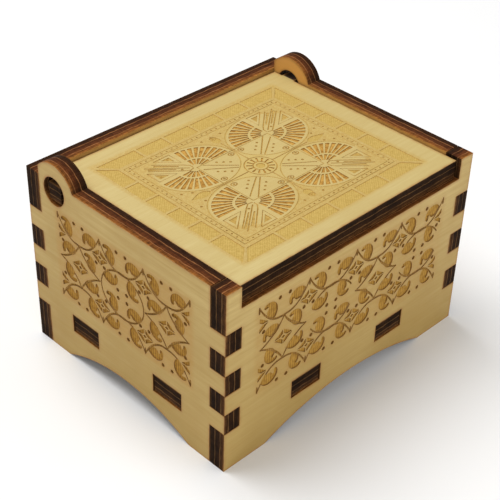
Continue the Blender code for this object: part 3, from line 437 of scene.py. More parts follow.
def fan_tree():
    """Wedge spokes between two radii of an oval, spread evenly over an angle."""
    tree, sizes = new_tree("fan", {"Spokes": "Int", "Inner": "Float", "Outer": "Float", "Sweep": "Float",
                                   "Spoke Share": "Float", "Flatness": "Float", "Depth": "Float",
                                   "Lift": "Float", "Material": "Material"})
    step = math_node(tree, "DIVIDE", sizes["Sweep"], sizes["Spokes"])
    row = add_node(tree, "GeometryNodeMeshLine",
                   {"Count": sizes["Spokes"], "Start Location": combine(tree, y=times(tree, step, 0.5)),
                    "Offset": combine(tree, y=step)})
    size = combine(tree, minus(tree, sizes["Outer"], sizes["Inner"]), times(tree, step, sizes["Spoke Share"]),
                   plus(tree, sizes["Depth"], sizes["Lift"]))
    block = add_node(tree, "GeometryNodeMeshCube", {"Size": size, "Vertices Y": 3})
    flat = add_node(tree, "GeometryNodeRealizeInstances",
                    {"Geometry": instances(tree, row.outputs["Mesh"], block.outputs["Mesh"])})
    place = position(tree)
    radius = plus(tree, place["X"], times(tree, plus(tree, sizes["Inner"], sizes["Outer"]), 0.5))
    across = times(tree, radius, math_node(tree, "SINE", place["Y"]), sizes["Flatness"])
    lift = times(tree, minus(tree, sizes["Lift"], sizes["Depth"]), 0.5)
    bent = combine(tree, times(tree, radius, math_node(tree, "COSINE", place["Y"])), across,
                   plus(tree, place["Z"], lift))
    return close_tree(tree, moved(tree, flat.outputs["Geometry"], bent), sizes["Material"])


def pin_tree():
    """Short steel pins in even tracks round a cylinder along Y, thinned out by a fixed seed."""
    tree, sizes = new_tree("pins", {"Tracks": "Int", "Slots": "Int", "Chance": "Float", "Pitch": "Float",
                                    "Cylinder Radius": "Float", "Pin Radius": "Float", "Pin Length": "Float",
                                    "Seed": "Int", "Material": "Material"})
    grid = add_node(tree, "GeometryNodeMeshGrid",
                    {"Size X": times(tree, minus(tree, sizes["Tracks"], 1.0), sizes["Pitch"]),
                     "Size Y": 2 * math.pi, "Vertices X": sizes["Tracks"], "Vertices Y": sizes["Slots"]})
    place = position(tree)
    shift = add_node(tree, "FunctionNodeRandomValue",
                     {"Min": -PIN_SCATTER, "Max": PIN_SCATTER, "Seed": sizes["Seed"]}, data_type="FLOAT")
    angle = plus(tree, place["Y"], enabled_output(shift))
    radius = sizes["Cylinder Radius"]
    placed = combine(tree, times(tree, radius, math_node(tree, "COSINE", angle)), place["X"],
                     times(tree, radius, math_node(tree, "SINE", angle)))
    lot = add_node(tree, "FunctionNodeRandomValue", {"Probability": sizes["Chance"], "Seed": sizes["Seed"]},
                   data_type="BOOLEAN")
    spot = position(tree)
    outward = add_node(tree, "FunctionNodeAlignRotationToVector",
                       {"Vector": combine(tree, spot["X"], 0.0, spot["Z"])}, axis="Z")
    pin = add_node(tree, "GeometryNodeMeshCone",
                   {"Vertices": PIN_SIDES, "Radius Top": times(tree, sizes["Pin Radius"], PIN_TIP_SHARE),
                    "Radius Bottom": sizes["Pin Radius"], "Depth": sizes["Pin Length"]})
    pins = instances(tree, moved(tree, grid.outputs["Mesh"], placed), pin.outputs["Mesh"],
                     Selection=enabled_output(lot), Rotation=outward.outputs["Rotation"])
    return close_tree(tree, pins, sizes["Material"])


def grow(tree, mesh, values):
    """The plain mesh that a tree makes of a mesh. The tree's inputs are set by their identifiers."""
    holder = new_object(tree.name, mesh)
    modifier = holder.modifiers.new(tree.name, "NODES")
    modifier.node_group = tree
    for item in tree.interface.items_tree:
        if item.in_out == "INPUT" and item.name in values:
            modifier[item.identifier] = values[item.name]
    result = plain_mesh(holder)
    bpy.data.objects.remove(holder)
    return result


# Materials

def new_finish(name, roughness, metallic=0.0, specular=None):
    """A material, its tree and its shader."""
    material = bpy.data.materials.new(name)
    material.use_nodes = True
    tree = material.node_tree
    shader = tree.nodes["Principled BSDF"]
    shader.inputs["Roughness"].default_value = roughness
    shader.inputs["Metallic"].default_value = metallic
    if specular is not None:
        shader.inputs["Specular IOR Level"].default_value = specular
    return material, tree, shader


def dress(tree, shader, colour, roughness=None):
    tree.links.new(colour, shader.inputs["Base Color"])
    if roughness is not None:
        tree.links.new(roughness, shader.inputs["Roughness"])


def coordinate(tree, kind):
    """The piece's own place in metres, or its normal."""
    return add_node(tree, "ShaderNodeTexCoord").outputs[kind]


def millimetres(tree, stretch=(1.0, 1.0, 1.0)):
    """The piece's own place in millimetres, stretched along its axes."""
    scale = [share / MM for share in stretch]
    return add_node(tree, "ShaderNodeMapping",
                    {"Vector": coordinate(tree, "Object"), "Scale": scale}).outputs["Vector"]


def drawn_out(tree, axis, along, across=1.0):
    """Millimetres for a texture that is drawn out along one axis."""
    return millimetres(tree, [along if i == axis else across for i in range(3)])


def noise(tree, scale, detail=3.0, roughness=0.55, distortion=0.0, place=None):
    """A noise from about 0.3 to 0.7, over the piece's own place unless another is given."""
    place = millimetres(tree) if place is None else place
    return add_node(tree, "ShaderNodeTexNoise",
                    {"Vector": place, "Scale": scale, "Detail": detail, "Roughness": roughness,
                     "Distortion": distortion}).outputs["Fac"]


def ramp(tree, share, stops):
    """Screen colours blended along a share from 0 to 1."""
    made = add_node(tree, "ShaderNodeValToRGB", {"Fac": share})
    band = made.color_ramp
    while len(band.elements) < len(stops):
        band.elements.new(1.0)
    for element, (place, colour) in zip(band.elements, stops):
        element.position = place
        element.color = srgb(*colour)
    return made.outputs["Color"]


def spread(tree, value, low, high, new_low=0.0, new_high=1.0):
    """A value's span from low to high, spread over a new one and held at its ends."""
    return add_node(tree, "ShaderNodeMapRange",
                    {"Value": value, "From Min": low, "From Max": high, "To Min": new_low,
                     "To Max": new_high}).outputs["Result"]


def blend(tree, share, first, second):
    """A mix of two colours. The mix node's inputs 6 and 7 are its two colours."""
    return add_node(tree, "ShaderNodeMix", {0: share, 6: first, 7: second}, data_type="RGBA").outputs[2]


def add_bump(tree, shader, height, strength, distance):
    bump = add_node(tree, "ShaderNodeBump", {"Height": height, "Strength": strength, "Distance": distance})
    tree.links.new(bump.outputs["Normal"], shader.inputs["Normal"])


def cut_edge_share(tree, radius):
    """How near a cut edge lies, from 0 far away to 1: a rounded normal leaves the true one near it."""
    rounded = add_node(tree, "ShaderNodeBevel", {"Radius": radius}, samples=8).outputs["Normal"]
    true = add_node(tree, "ShaderNodeNewGeometry").outputs["Normal"]
    alike = add_node(tree, "ShaderNodeVectorMath", {0: rounded, 1: true}, operation="DOT_PRODUCT")
    return spread(tree, alike.outputs["Value"], 0.995, 0.86)


def birch(name, grain, pale, deep, tint, calm):
    """Birch veneer: fibres along one axis, slow clouds, a few darker flecks and scorched cut edges.

    A tint gives the colour and the share of ornament at each place. Calm holds the scorch back on ornament.
    """
    material, tree, shader = new_finish(name, 0.55, specular=0.35)
    fibres = noise(tree, 1.3, 5.0, 0.62, 0.4, drawn_out(tree, grain, 0.055))
    fine = noise(tree, 5.5, 3.0, 0.6, place=drawn_out(tree, grain, 0.055))
    clouds = noise(tree, 0.05, 2.0)
    between = [(a + b) / 2 for a, b in zip(pale, deep)]
    wood = ramp(tree, fibres, ((0.3, deep), (0.52, between), (0.72, pale)))
    soft = blend(tree, 0.65, srgb(*pale), wood)
    shade = blend(tree, spread(tree, clouds, 0.35, 0.7, 0.0, 0.45), soft, srgb(*deep))
    colour = blend(tree, spread(tree, fine, 0.6, 0.74, 0.0, 0.5), shade, FLECK)
    smoky = noise(tree, 0.6)
    halo = times(tree, cut_edge_share(tree, SCORCH_REACH), spread(tree, smoky, 0.3, 0.7, 0.35, 0.85))
    rim = times(tree, cut_edge_share(tree, CHAR_REACH), spread(tree, smoky, 0.35, 0.6, 0.35, 0.9))
    if tint:
        colour, ornament = tint(tree, colour)
        rim = times(tree, rim, minus(tree, 1.0, ornament))
        halo = times(tree, halo, spread(tree, ornament, 0.0, 1.0, 1.0, 1.0 - calm))
    colour = blend(tree, rim, blend(tree, halo, colour, CUT_HALO), CUT_RIM)
    dress(tree, shader, colour, spread(tree, fibres, 0.3, 0.7, 0.62, 0.48))
    add_bump(tree, shader, fine, 0.25, 0.06 * MM)
    return material


def within(tree, value, low, high, soft):
    """1 between two values, falling to 0 over a soft margin outside them."""
    sides = [add_node(tree, "ShaderNodeMapRange", {"Value": value, "From Min": far, "From Max": near},
                      interpolation_type="SMOOTHSTEP").outputs["Result"]
             for far, near in ((low - soft, low), (high + soft, high))]
    return times(tree, *sides)


def in_box(tree, place, middle, half, soft):
    """1 in a box given by its middle and half sizes, one of each for each part of the place."""
    return times(tree, *(within(tree, p, m - h, m + h, soft) for p, m, h in zip(place, middle, half)))


def facing(tree, axis, sign):
    """1 on the face that looks along an axis, 0 on the face behind."""
    return spread(tree, separate(tree, coordinate(tree, "Normal"))[axis], 0.2 * sign, 0.6 * sign)


def side_tint(axis, middle, half, rise, outward, golden_top, smokiness):
    """A side's veneer: more golden towards the feet, the laser's haze over the ornament outside, and a warm band
    along the rim inside, partly smoke stain and partly painted light, as that face lies in shade under the lid.
    Its axis runs along the side.
    """
    def tint(tree, colour):
        place = separate(tree, coordinate(tree, "Object"))
        patchy = noise(tree, 0.07, 3.0, 0.6)
        depth = plus(tree, spread(tree, place[Z], 0.95 * RIM, 0.1 * RIM, golden_top, 0.8),
                     spread(tree, patchy, 0.3, 0.7, -0.2, 0.2))
        golden = blend(tree, spread(tree, depth, 0.0, 1.0), colour, GOLDEN)
        outer = facing(tree, 1 - axis, outward)
        box = in_box(tree, (place[axis], place[Z]), (middle, rise), (half, PEAK_RISE), SIDE_HAZE_MARGIN)
        inside = times(tree, box, outer)
        # painted light, partly smoke stain: a warm band inside the rim, where the inner face lies in shade
        rim = times(tree, minus(tree, 1.0, outer),
                    spread(tree, place[Z], RIM - INNER_BAND[0], RIM - INNER_BAND[1], 0.0, 0.85))
        golden = blend(tree, rim, golden, INNER_SMOKE_AND_PAINTED_LIGHT)
        smoke = noise(tree, 0.5, 4.0, 0.6)
        haze = times(tree, inside, spread(tree, smoke, 0.3, 0.7, *smokiness))
        return blend(tree, haze, golden, SIDE_HAZE), inside
    return tint


def in_a_fan(tree, place, middle):
    """1 inside the four ovals of the lid's fans, 0 outside them."""
    terms = []
    for axis in (X, Y):
        off = math_node(tree, "ABSOLUTE", minus(tree, place[axis], middle[axis]))
        share = math_node(tree, "DIVIDE", minus(tree, off, FIELD[axis]), FAN_RIM[axis])
        terms.append(times(tree, share, share))
    return spread(tree, plus(tree, *terms), 1.0, 0.9)


def lid_tint(tree, colour):
    """The laser's haze over the lid's ornament, a duller back right corner, and painted shade on the tabs that sit
    in the ear holes.
    """
    place = separate(tree, coordinate(tree, "Object"))
    middle = (lid_low + lid_high) / 2
    shifted = (middle.x, middle.y + LID_SHIFT)
    fans = in_a_fan(tree, place, shifted)
    inside = times(tree, in_box(tree, place, middle, BORDER, LID_HAZE_MARGIN), facing(tree, Z, 1))
    across = plus(tree, spread(tree, place[X], lid_low.x, lid_high.x, 0.0, 0.3),
                  spread(tree, place[Y], lid_low.y, lid_high.y, 0.0, 0.2))
    dull = blend(tree, across, colour, LID_DULL)
    patchy = noise(tree, 0.25, 4.0, 0.6)
    haze = times(tree, inside, spread(tree, patchy, 0.3, 0.7, 0.35, 0.75),
                 spread(tree, fans, 0.0, 1.0, 1.0, 0.35))
    hazed = blend(tree, haze, dull, LID_HAZE)
    field = in_box(tree, place, shifted, FIELD, FIELD_MARGIN)
    grainy = noise(tree, 2.0, 3.0, 0.75, 1.2)
    ground = times(tree, minus(tree, inside, field), spread(tree, grainy, 0.4, 0.6, 0.1, 0.75),
                   spread(tree, fans, 0.0, 1.0, 1.0, 0.1))
    hazed = blend(tree, ground, hazed, LID_GROUND)
    # painted shade: the tabs' faces inside the end panels' ear holes are painted dark
    body = within(tree, place[X], left_high.x + TAB_START, right_low.x - TAB_START, TAB_MARGIN)
    return blend(tree, body, TAB_PAINTED_SHADE, hazed), inside


def engraved(name, lines, light, dark, dotted=False, ribs=SIDE_RIBS):
    """Wood scorched by the laser's raster: fine parallel lines across one axis, or a fine grid of dots."""
    material, tree, shader = new_finish(name, 0.8, specular=0.15)
    place = separate(tree, millimetres(tree))
    axes = (lines, 1 - lines) if dotted else (lines,)
    wave = times(tree, *(math_node(tree, "SINE", times(tree, place[axis], 2 * math.pi / RASTER_PITCH))
                         for axis in axes))
    patchy = noise(tree, 2.4, 4.0, 0.6, 1.0) if dotted else noise(tree, 1.2, 4.0, 0.6)
    depth = plus(tree, spread(tree, wave, -1.0, 1.0, 0.0, ribs),
                 spread(tree, patchy, 0.35, 0.65, 0.0, 1.0 - ribs))
    dress(tree, shader, ramp(tree, depth, ((0.1, dark), (0.85, light))))
    add_bump(tree, shader, depth, 0.4, 0.05 * MM)
    return material


def burnt_edge(name, axis, middle):
    """Laser cut edge: charred plies, darker towards the sheet's far side, with broken, paler glue lines. Faces
    that look up get lighter, redder tones as painted light from above.
    """
    material, tree, shader = new_finish(name, 0.55, specular=0.02)
    place = separate(tree, coordinate(tree, "Object"))[axis]
    streaks = noise(tree, 3.2, 4.0, 0.65, place=drawn_out(tree, axis, 0.12))
    grain = noise(tree, 1.2, 4.0, 0.7, place=drawn_out(tree, axis, 3.6, 0.45))
    patches = noise(tree, 0.3, 3.0, 0.6)
    share = plus(tree, spread(tree, place, middle - PLY / 2, middle + PLY / 2),
                 spread(tree, noise(tree, 0.5), 0.3, 0.7, -0.03, 0.03))
    # painted light: edges that face up are painted lighter and redder, as if lit from above
    upward_painted_lit_share = spread(tree, separate(tree, coordinate(tree, "Normal"))[Z], 0.2, 0.7)
    tone = blend(tree, upward_painted_lit_share, ramp(tree, share, UPRIGHT_EDGE), ramp(tree, share, LEVEL_EDGE_PAINTED_LIT))
    tone = blend(tree, spread(tree, patches, 0.4, 0.7, 0.0, 0.2), tone, EDGE_PATCH)
    tone = blend(tree, spread(tree, grain, 0.45, 0.68, 0.0, 0.75), tone, CHAR)
    tone = blend(tree, spread(tree, streaks, 0.4, 0.72, 0.0, 0.5), tone, CHAR)
    ridges = add_node(tree, "ShaderNodeSeparateColor", {0: ramp(tree, share, GLUE_LINES)}).outputs[0]
    seen = times(tree, ridges, spread(tree, patches, 0.35, 0.6, 0.35, 0.95))
    dress(tree, shader, blend(tree, seen, tone, blend(tree, upward_painted_lit_share, UPRIGHT_GLUE, LEVEL_GLUE_PAINTED_LIT)))
    add_bump(tree, shader, plus(tree, streaks, times(tree, ridges, 1.2)), 0.6, 0.15 * MM)
    return material


def scorched(name, dark, light):
    """Walls of an engraved cut, in the laser's char; the darker ones also carry painted shade along the cut's
    outline.
    """
    material, tree, shader = new_finish(name, 0.7)
    dress(tree, shader, ramp(tree, noise(tree, 2.0, 4.0, 0.6), ((0.3, dark), (0.7, light))))
    return material


def metal(name, colour, roughness, grain=None, grain_scale=6.0, relief=0.02, metallic=1.0):
    """Worked metal, with brushing across one axis or an even fine texture."""
    material, tree, shader = new_finish(name, roughness, metallic)
    brushed = noise(tree, grain_scale, 4.0, 0.6, place=drawn_out(tree, grain, 0.05))
    smudges = noise(tree, 0.35, 3.0, 0.6)
    dim = tuple(0.72 * c for c in srgb(*colour)[:3]) + (1.0,)
    dress(tree, shader, blend(tree, spread(tree, smudges, 0.3, 0.75, 0.0, 0.7), srgb(*colour), dim),
          spread(tree, brushed, 0.3, 0.7, 0.75 * roughness, 1.35 * roughness))
    add_bump(tree, shader, brushed, 0.35, relief * MM)
    return material


def moulded(name, colour, shade, roughness):
    """Moulded plastic with a slightly uneven skin."""
    material, tree, shader = new_finish(name, roughness)
    skin = noise(tree, 3.0)
    dress(tree, shader, blend(tree, spread(tree, noise(tree, 0.4), 0.3, 0.7), srgb(*colour), srgb(*shade)),
          spread(tree, skin, 0.3, 0.7, 0.8 * roughness, 1.2 * roughness))
    add_bump(tree, shader, skin, 0.2, 0.03 * MM)
    return material


# Drawing of flat shapes

def points_mesh(places, turns=None):
    """Loose points, each with the turn of what is stamped on it."""
    mesh = bpy.data.meshes.new("points")
    mesh.from_pydata([(u, v, 0.0) for u, v in places], [], [])
    mesh.attributes.new("turn", "FLOAT", "POINT").data.foreach_set("value", turns or [0.0] * len(places))
    return mesh


def lines_mesh(lines):
    """Open lines of points joined by edges. Each line's cut is a hair deeper, so that no two floors meet."""
    mesh = bpy.data.meshes.new("lines")
    points, edges, drops = [], [], []
    for number, line in enumerate(lines):
        edges += [(len(points) + i, len(points) + i + 1) for i in range(len(line) - 1)]
        points += [(u, v, 0.0) for u, v in line]
        drops += [number * DROP_STEP] * len(line)
    mesh.from_pydata(points, edges, [])
    mesh.attributes.new("drop", "FLOAT", "POINT").data.foreach_set("value", drops)
    return mesh


def prism(bm, outline, depth):
    """A flat outline as a closed block from the cut's floor to above the wood."""
    low = [bm.verts.new((u, v, -depth)) for u, v in outline]
    high = [bm.verts.new((u, v, CUT_LIFT)) for u, v in outline]
    bm.faces.new(low)
    bm.faces.new(high)
    for i in range(len(outline)):
        j = (i + 1) % len(outline)
        bm.faces.new((low[i], low[j], high[j], high[i]))


def prisms_mesh(outlines, material, depth=FILL_DEPTH):
    bm = bmesh.new()
    for outline in outlines:
        prism(bm, outline, depth)
    bmesh.ops.recalc_face_normals(bm, faces=bm.faces)
    return mesh_from(bm, "shapes", [material])


STAMP = stamp_tree()
STROKE = stroke_tree()
FAN_TREE = fan_tree()


def stamp(shape, places, material, turns=None):
    """A shape's mesh set on each place. The shape needs an object while the tree runs."""
    holder = new_object(shape.name, shape)
    made = grow(STAMP, points_mesh(places, turns), {"Shape": holder, "Material": material})
    bpy.data.objects.remove(holder)
    return made


def stroke(lines, width, depth, material, taper=0.0):
    return grow(STROKE, lines_mesh(lines),
                {"Width": width, "Depth": depth, "Lift": CUT_LIFT, "Taper": taper, "Material": material})


def fan(spokes, inner, outer, sweep, share, flatness, material):
    return grow(FAN_TREE, points_mesh([(0.0, 0.0)]),
                {"Spokes": spokes, "Inner": inner, "Outer": outer, "Sweep": sweep, "Spoke Share": share,
                 "Flatness": flatness, "Depth": LID_FILL_DEPTH, "Lift": CUT_LIFT, "Material": material})


def join_meshes(name, meshes, wall):
    """One mesh of several, each level face keeping its own material, with its faces turned outwards."""
    bm = bmesh.new()
    materials = []
    for mesh in meshes:
        start = len(bm.faces)
        bm.from_mesh(mesh)
        bm.faces.ensure_lookup_table()
        for face in bm.faces[start:]:
            own = mesh.materials[face.material_index]
            if own not in materials:
                materials.append(own)
            face.material_index = materials.index(own)
    bmesh.ops.recalc_face_normals(bm, faces=bm.faces)
    for face in bm.faces:
        if abs(face.normal.z) < LEVEL_FACE:
            face.material_index = len(materials)
    return mesh_from(bm, name, materials + [wall])


def circle(radius, steps):
    return [(radius * math.cos(2 * math.pi * i / steps), radius * math.sin(2 * math.pi * i / steps))
            for i in range(steps)]


def oval_arc(radii, start, end, steps=24, power=1.0):
    """Points on an oval. A power above 1 draws its quarters in towards the middle."""
    points = []
    for i in range(steps + 1):
        angle = start + (end - start) * i / steps
        points.append([radius * math.copysign(abs(share) ** power, share)
                       for radius, share in zip(radii, (math.cos(angle), math.sin(angle)))])
    return points


def four_ways(points):
    """The points of one quarter mirrored into all four."""
    return [(su * u, sv * v) for u, v in points for su, sv in QUARTERS]


def mirrored(paths):
    """The lines of one quarter mirrored into all four."""
    return [[(su * u, sv * v) for u, v in path] for path in paths for su, sv in QUARTERS]


def closed(path):
    return list(path) + [path[0]]


def shrunk(outline, share, centre=(0.0, 0.0)):
    """An outline drawn in towards its own middle, and moved."""
    middle = [sum(point[k] for point in outline) / len(outline) for k in (0, 1)]
    return [(centre[0] + middle[0] + share * (u - middle[0]), centre[1] + middle[1] + share * (v - middle[1]))
            for u, v in outline]


def rounded_outline(points, steps=2):
    """A closed outline in metres, drawn smoothly through points in millimetres."""
    count = len(points)
    smooth = []
    for i in range(count):
        a, b, c, d = (Vector(points[(i + k) % count]) for k in (-1, 0, 1, 2))
        for step in range(steps):
            t = step / steps
            smooth.append(0.5 * (2 * b + (c - a) * t + (2 * a - 5 * b + 4 * c - d) * t ** 2
                                 + (3 * b - a - 3 * c + d) * t ** 3))
    return [tuple(point * MM) for point in smooth]


def crossed_patch(centre, radii):
    """A square on its corner: four blunt triangles parted by a bare cross, round a small square."""
    corners = [(radii[0], 0.0), (0.0, radii[1]), (-radii[0], 0.0), (0.0, -radii[1])]
    blunt = [(PATCH_HEART * u, PATCH_HEART * v) for u, v in corners]
    pieces = [[(centre[0] + PATCH_CORE * u, centre[1] + PATCH_CORE * v) for u, v in corners]]
    for i in range(4):
        j = (i + 1) % 4
        pieces.append(shrunk((corners[i], corners[j], blunt[j], blunt[i]), PATCH_SHARE, centre))
    return pieces


def outside(line, hole):
    """The stretches of a line that keep clear of a round hole."""
    if hole is None:
        return [line]
    centre, radius = hole
    runs = [[]]
    for point in line:
        if math.dist(point, centre) > radius:
            runs[-1].append(point)
        else:
            runs.append([])
    return [run for run in runs if len(run) > 1]


def side_ornament(cells, cell, closed_oval, hole=None):
    """Lines, leaves, dots and patches of a side's ornament, about the middle of its pattern.

    The leaves lie along a vine that runs to the right above and to the left below, so that half a turn
    brings the ornament back onto itself. Stars and ovals take turns from cell to cell.
    """
    half = cell / 2
    lines, spurs, leaves, dots, patches = [], [], [], [], []
    first = -(cells - 1) / 2 * cell
    arc = []
    for k in range(-ARC_STEPS, ARC_STEPS + 1):
        share = math.copysign(abs(k / ARC_STEPS) ** ARC_CROWDING, k)
        arc.append((share * half, VALLEY_RISE + (PEAK_RISE - VALLEY_RISE) * abs(share) ** ARC_POWER))
    for i in range(cells):
        c = first + i * cell
        for side in (1, -1):
            lines.append([(c + u, side * v) for u, v in arc])
        lying, standing = (STAR_LYING, STAR_STANDING) if i % 2 == 0 else (OVAL_LYING, OVAL_STANDING)
        for (u, v), turn in ((ROW_LYING, LYING_TURN), (ROW_STANDING, STANDING_TURN),
                             (lying, LYING_TURN), (standing, STANDING_TURN)):
            leaves += [(c + u, v, turn), (c - u, -v, turn + math.pi)]
        if i % 2 == 0:
            star = oval_arc(DIAMOND, 0.0, 2 * math.pi, 4 * DIAMOND_STEPS, DIAMOND_POWER)
            lines += [[(c + u, v) for u, v in star[DIAMOND_STEPS * q:DIAMOND_STEPS * (q + 1) + 1]]
                      for q in range(4)]
            patches += crossed_patch((c, 0.0), PATCH)
        else:
            opening = 0.0 if closed_oval else OVAL_OPEN_ANGLE
            lines += [[(c + u, v) for u, v in oval_arc(OVAL, start + opening, start + math.pi - opening)]
                      for start in (0.0, math.pi)]
            dots += [(c + u, v) for u, v in four_ways([OVAL_DOT])]
        dots += [(c + u, v) for u, v in four_ways([ROW_DOT])]
    for i in range(cells + 1):
        peak = first - half + i * cell
        for side in (1, -1):
            patches += crossed_patch((peak, side * PATCH_RISE), PATCH)
            dots += [(peak + d * PEAK_DOT[0], side * PEAK_DOT[1]) for d in (1, -1)]
            spurs.append([(peak, side * (PEAK_RISE + SPUR_START - k * SPUR / SPUR_STEPS))
                          for k in range(SPUR_STEPS + 1)])
    edge = cells * half
    patches = [p for p in patches if abs(sum(u for u, v in p)) / len(p) < edge - DOT_RADIUS / 2]
    dots = [p for p in dots if abs(p[0]) < edge]
    if hole:
        centre, radius = hole
        leaves = [leaf for leaf in leaves if math.dist(leaf[:2], centre) > radius + LEAF_REACH]
        dots = [p for p in dots if math.dist(p, centre) > radius + DOT_RADIUS]
        patches = [p for p in patches if min(math.dist(q, centre) for q in p) > radius]
    return [run for line in lines + spurs for run in outside(line, hole)], leaves, dots, patches


def side_cutters(drawing, fill, stem):
    """Cutting meshes of a side's ornament."""
    lines, leaves, dots, patches = drawing
    leaf = prisms_mesh([rounded_outline(LEAF)], fill)
    dot = prisms_mesh([circle(DOT_RADIUS, 10)], stem, DOT_DEPTH)
    places, turns = [leaf[:2] for leaf in leaves], [leaf[2] for leaf in leaves]
    small = [prisms_mesh(patches, fill, PATCH_DEPTH), stamp(dot, dots, stem)]
    return [join_meshes("leaves", [stamp(leaf, places, fill, turns)], side_wall_char_and_shade),
            join_meshes("stems", [stroke(lines, STEM_WIDTH, STEM_DEPTH, stem, STEM_TAPER)], side_wall_char_and_shade),
            join_meshes("small_shapes", small, side_wall_char_and_shade)]


def turned(path, wanted):
    """A path with its u and v exchanged, if that is wanted."""
    return [(v, u) for u, v in path] if wanted else path


def lid_shapes():
    """The hub, the border's blocks and the drops between the fans."""
    shapes = [circle(HUB_SHARE * LID_RING_RADII[0], 24)]
    for along, across, standing in ((*BORDER, False), (*BORDER[::-1], True)):
        pitch = 2 * (along - BORDER_WIDTH) / BLOCKS_PER_SIDE
        for i in range(BLOCKS_PER_SIDE):
            low = -along + BORDER_WIDTH + i * pitch + BLOCK_GAP / 2
            high = low + pitch - BLOCK_GAP
            out_low = low if i else -along + BLOCK_GAP
            out_high = high if i < BLOCKS_PER_SIDE - 1 else along - BLOCK_GAP
            block = [(low, across - BORDER_WIDTH), (high, across - BORDER_WIDTH),
                     (out_high, across), (out_low, across)]
            shapes += [turned([(u, side * v) for u, v in block], standing) for side in (1, -1)]
    steps = range(DROP_STEPS + 1)
    around = [(1, k / DROP_STEPS) for k in steps] + [(-1, k / DROP_STEPS) for k in reversed(steps[1:-1])]
    for length, width, start, standing in DROPS:
        for side in (1, -1):
            drop = [(side * (start + length * t), width * math.sin(math.pi * t ** DROP_FULLNESS) * s)
                    for s, t in around]
            shapes.append(turned(drop, standing))
    return shapes


def lid_fans(spoke):
    """Two quarter fans at each corner of the middle square, and the middle's petals."""
    fans = []
    for spokes, (inner, outer) in ((FAN_SPOKES, FAN_OUTER_SHARES), (FAN_INNER_SPOKES, FAN_INNER_SHARES)):
        quarter = fan(spokes, inner * FAN[0], outer * FAN[0], math.pi / 2, SPOKE_SHARE, FAN[1] / FAN[0],
                      spoke)
        for su, sv in QUARTERS:
            for u, v, gap_u, gap_v in ((-su, sv, 0.0, FAN_GAP), (su, -sv, FAN_GAP, 0.0)):
                placed = quarter.copy()
                shift = Matrix.Translation((su * (FIELD[0] + gap_u), sv * (FIELD[1] + gap_v), 0.0))
                placed.transform(shift @ Matrix.Diagonal((u, v, 1.0, 1.0)))
                fans.append(placed)
    inner, outer = LID_RING_RADII
    fans.append(fan(PETALS, inner, outer - PETAL_GAP, 2 * math.pi, PETAL_SHARE, 1.0, spoke))
    return fans


def at_corner(path):
    """A path given in millimetres out from the field's corner, about the lid's middle."""
    return [(FIELD[0] + u * MM, FIELD[1] + v * MM) for u, v in path]


def lid_wedges():
    """Filled slivers beside each corner's spear, and the small triangles inside the flank triangles."""
    wedges = []
    for start, end, near, far in SLIVERS:
        start, end = Vector(start), Vector(end)
        along = (end - start).normalized()
        side = Vector((-along.y, along.x))
        wedges.append(at_corner((start + near * side, start - near * side,
                                 end - far * side, end + far * side)))
    wedges += [shrunk(at_corner(shape), FLANK_SHARE) for shape in FLANKS]
    return mirrored(wedges)


def rectangle(half_u, half_v):
    """The four sides of a rectangle, as lines."""
    corners = [(half_u, half_v), (-half_u, half_v), (-half_u, -half_v), (half_u, -half_v)]
    return [[corners[i], corners[(i + 1) % 4]] for i in range(4)]


def bead_row(half, off):
    """Beads in two rows of a given half length, on both sides of the middle."""
    count = int(2 * half / BEAD_PITCH)
    return [(-half + (i + 0.5) * 2 * half / count, s * off) for i in range(count) for s in (1, -1)]


